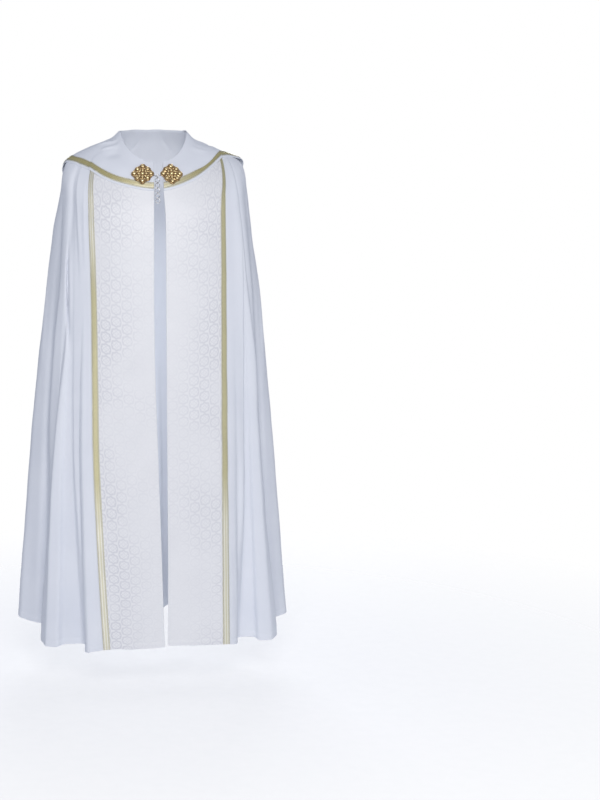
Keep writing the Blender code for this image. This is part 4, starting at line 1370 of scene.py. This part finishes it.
def add_stitches(name, lines, stitch, material):
    """Runs of stitches along lines of (points, outward), joined in one piece."""
    form, form_faces = stitch_form()
    pitch, long, thick = stitch
    form = form * (long, thick, thick)
    all_points, all_faces = [], []
    for points, out in lines:
        way = way_along(points)
        at = np.arange(pitch / 2, way[-1], pitch)
        middle = read_off(at, way, points)
        away = unit(read_off(at, way, out))
        ahead = unit(read_off(at + STITCH_AHEAD, way, points) - middle)
        turns = np.stack([ahead, np.cross(away, ahead), away], 1)
        for spot, turn in zip(middle, turns):
            base = len(all_points) * len(form)
            all_points.append(spot + form @ turn)
            all_faces += [[index + base for index in face] for face in form_faces]
    mesh = bpy.data.meshes.new(name)
    mesh.from_pydata(np.concatenate(all_points).tolist(), [], all_faces)
    mesh.shade_smooth()
    return add_piece(name, mesh, [material])


def over_hood_galloon(around, down):
    """A line on top of the hood's galloon, as (points, outward)."""
    lift = HOOD_WALL / 2 + BRAID_THICKNESS + SEAM_GAP
    return laid(around, down, hood_height(around, down) + lift)


def add_front_stitches(side, name, material):
    """Two rows that hold one front galloon."""
    down = np.linspace(BRAID_TOP, HEM_DOWN - GALLOON_STITCH_END, LINE_SAMPLES)
    lift = WALL / 2 + BRAID_THICKNESS + SEAM_GAP
    rows = beside_seam(side, down, [BRAID_STITCH, BRAID_WIDTH - BRAID_STITCH]).T
    lines = [laid(around, down, lift) for around in rows]
    return add_stitches(f"braid_stitches_{name}", lines, GALLOON_STITCHES, material)


def add_hood_stitches(side, name, material):
    """Two rows that hold one half of the hood's galloon."""
    around = bending_columns(*hood_ends(side, MITRE_CLEAR), HOOD_LINE_SAMPLES, HOOD_LINE_LEVEL)
    insets = [HOOD_MARGIN + across for across in (BRAID_STITCH, BRAID_WIDTH - BRAID_STITCH)]
    lines = [over_hood_galloon(around, inside_hood_edge(around, inset)) for inset in insets]
    return add_stitches(f"hood_braid_stitches_{name}", lines, GALLOON_STITCHES, material)


def add_mitre(material):
    """The dark stitched join of the galloon's halves at the hood's back point."""
    tip = np.array([BACK_POINT])
    inner = float(inside_hood_edge(tip, HOOD_MARGIN + BRAID_WIDTH)[0])
    end = float(hood_depth(tip)[0]) - STITCH_END
    down = np.linspace(inner - MITRE_OVERRUN, end, MITRE_SAMPLES)
    line = over_hood_galloon(np.full(len(down), BACK_POINT), down)
    return add_stitches("mitre_stitches", [line], MITRE_STITCHES, material)


def add_hem_stitches(material):
    """The stitch line of the mantle's and orphreys' turned-up hem."""
    around = np.linspace(HEM_INSET - ORPHREY_SPAN, 1 + ORPHREY_SPAN - HEM_INSET, HEM_SAMPLES)
    line = laid(around, HEM_DOWN - HEM_DEPTH, WALL / 2 - HEM_STITCH_SINK)
    return add_stitches("hem_stitches", [line], HEM_STITCHES, material)


def add_edge_stitches(side, name, material):
    """The stitch line that holds the facing along one front edge."""
    down = np.linspace(FACING_TOP, HEM_DOWN - STITCH_END, LINE_SAMPLES)
    inside = ORPHREY_SPAN * (1 - FACING_STITCH / ORPHREY_WIDTH)
    line = laid(-inside if side < 0 else 1 + inside, down, WALL / 2 - FACING_STITCH_SINK)
    return add_stitches(f"front_edge_stitches_{name}", [line], FACING_STITCHES, material)


# --- camera, light and floor ---


def add_camera():
    """From straight ahead of the chest, a little above it."""
    camera = bpy.data.objects.new("camera", bpy.data.cameras.new("camera"))
    bpy.context.collection.objects.link(camera)
    camera.location = CAMERA_PLACE
    look = Vector(CAMERA_TARGET) - Vector(CAMERA_PLACE)
    camera.rotation_euler = look.to_track_quat("-Z", "Y").to_euler()
    camera.data.sensor_fit = "VERTICAL"
    camera.data.sensor_height = SENSOR
    camera.data.lens = LENS
    camera.data.shift_x, camera.data.shift_y = CAMERA_SHIFT
    camera.data.clip_end = 50
    bpy.context.scene.camera = camera


def add_soft_light(name, place, target, size, power, tint):
    """A large studio soft box that points at a target."""
    light = bpy.data.lights.new(name, "AREA")
    light.shape = "RECTANGLE"
    light.size, light.size_y = size
    light.energy = power
    light.color = colour(tint)[:3]
    obj = bpy.data.objects.new(name, light)
    bpy.context.collection.objects.link(obj)
    obj.location = place
    obj.rotation_euler = (Vector(target) - Vector(place)).to_track_quat("-Z", "Y").to_euler()
    obj.visible_camera = False


def add_world():
    """A pale studio all round: bright at the horizon, dimmer overhead."""
    world = bpy.data.worlds.new("studio")
    world.use_nodes = True
    bpy.context.scene.world = world
    node = partial(add, world.node_tree)
    height = node("SeparateXYZ", node("TexCoord", out="Generated"), out=2)
    share = node("MapRange", height, 0.0, 0.9)
    tint = node("MixRGB", share, colour(HORIZON), colour(ZENITH))
    below = node("MapRange", height, -0.05, -0.6)
    tint = node("MixRGB", below, tint, colour(GROUND))
    seen = node("LightPath", out="Is Camera Ray")
    strength = node("Math MULTIPLY_ADD", seen, 1 - WORLD_STRENGTH, WORLD_STRENGTH)
    shown = node("MixRGB", seen, tint, colour(BACKGROUND))
    background = world.node_tree.nodes["Background"]
    fill(world.node_tree, background, [("Color", shown), ("Strength", strength)])


def add_floor(material):
    """A round floor under the hem."""
    start_piece()
    bpy.ops.mesh.primitive_circle_add(vertices=96, radius=FLOOR_RADIUS, fill_type="NGON")
    floor = bpy.context.object
    floor.name = "floor"
    bpy.ops.object.mode_set(mode="EDIT")
    bpy.ops.mesh.select_all(action="SELECT")
    bpy.ops.transform.translate(value=(0, 0, FLOOR_Z))
    bpy.ops.object.mode_set(mode="OBJECT")
    floor.data.materials.append(material)


# --- the whole ---

white = twill_cloth("white_twill", "#F4F6FB", "#E4E8F1")
inside = twill_cloth("white_twill_inside", "#F2F4F9", "#E6E9F0")
band = damask()
# The three galloons are one braid; their dull and pale grounds are painted reflections, dullest on the hood.
hood_braid = galloon("gold_galloon_hood", 0.0, HOOD_BRAID_DIM, "#C6BA80", "#E9E4CF")
front_braids = {
    "left": galloon("gold_galloon_left", 0.66, 0.26, "#CBC49A", "#F8F6EC"),
    "right": galloon("gold_galloon_right", 0.45, 0.46, "#C9C297", "#F8F6EA"),
}
gold = antique_gold()
silver = silver_wire()
gold_thread = thread("gold_thread", "#8C7F4C", "#5E5430")
white_thread = thread("white_thread", "#ECEEF2", "#CFD2DA")
dark_thread = thread("dark_thread", "#4C4630", "#2C281C")

mantle = add_mantle(white, inside)
hood = add_hood(white, inside)
hem = add_hem_stitches(white_thread)
mitre = add_mitre(dark_thread)
for side, name in ((-1, "left"), (1, "right")):
    orphrey = add_orphrey(name, side, band, inside)
    edge = add_edge_stitches(side, name, white_thread)
    strip = add_front_galloon(name, side, front_braids[name])
    rows = add_front_stitches(side, name, gold_thread)
    strip = add_hood_galloon(name, side, hood_braid)
    rows = add_hood_stitches(side, name, gold_thread)
add_clasp("left", gold)
add_clasp("right", gold)
add_closure(silver)

add_camera()
for name, light in LIGHTS.items():
    add_soft_light(name, *light)
add_world()
add_floor(studio_floor())
bpy.context.scene.view_settings.view_transform = "Standard"
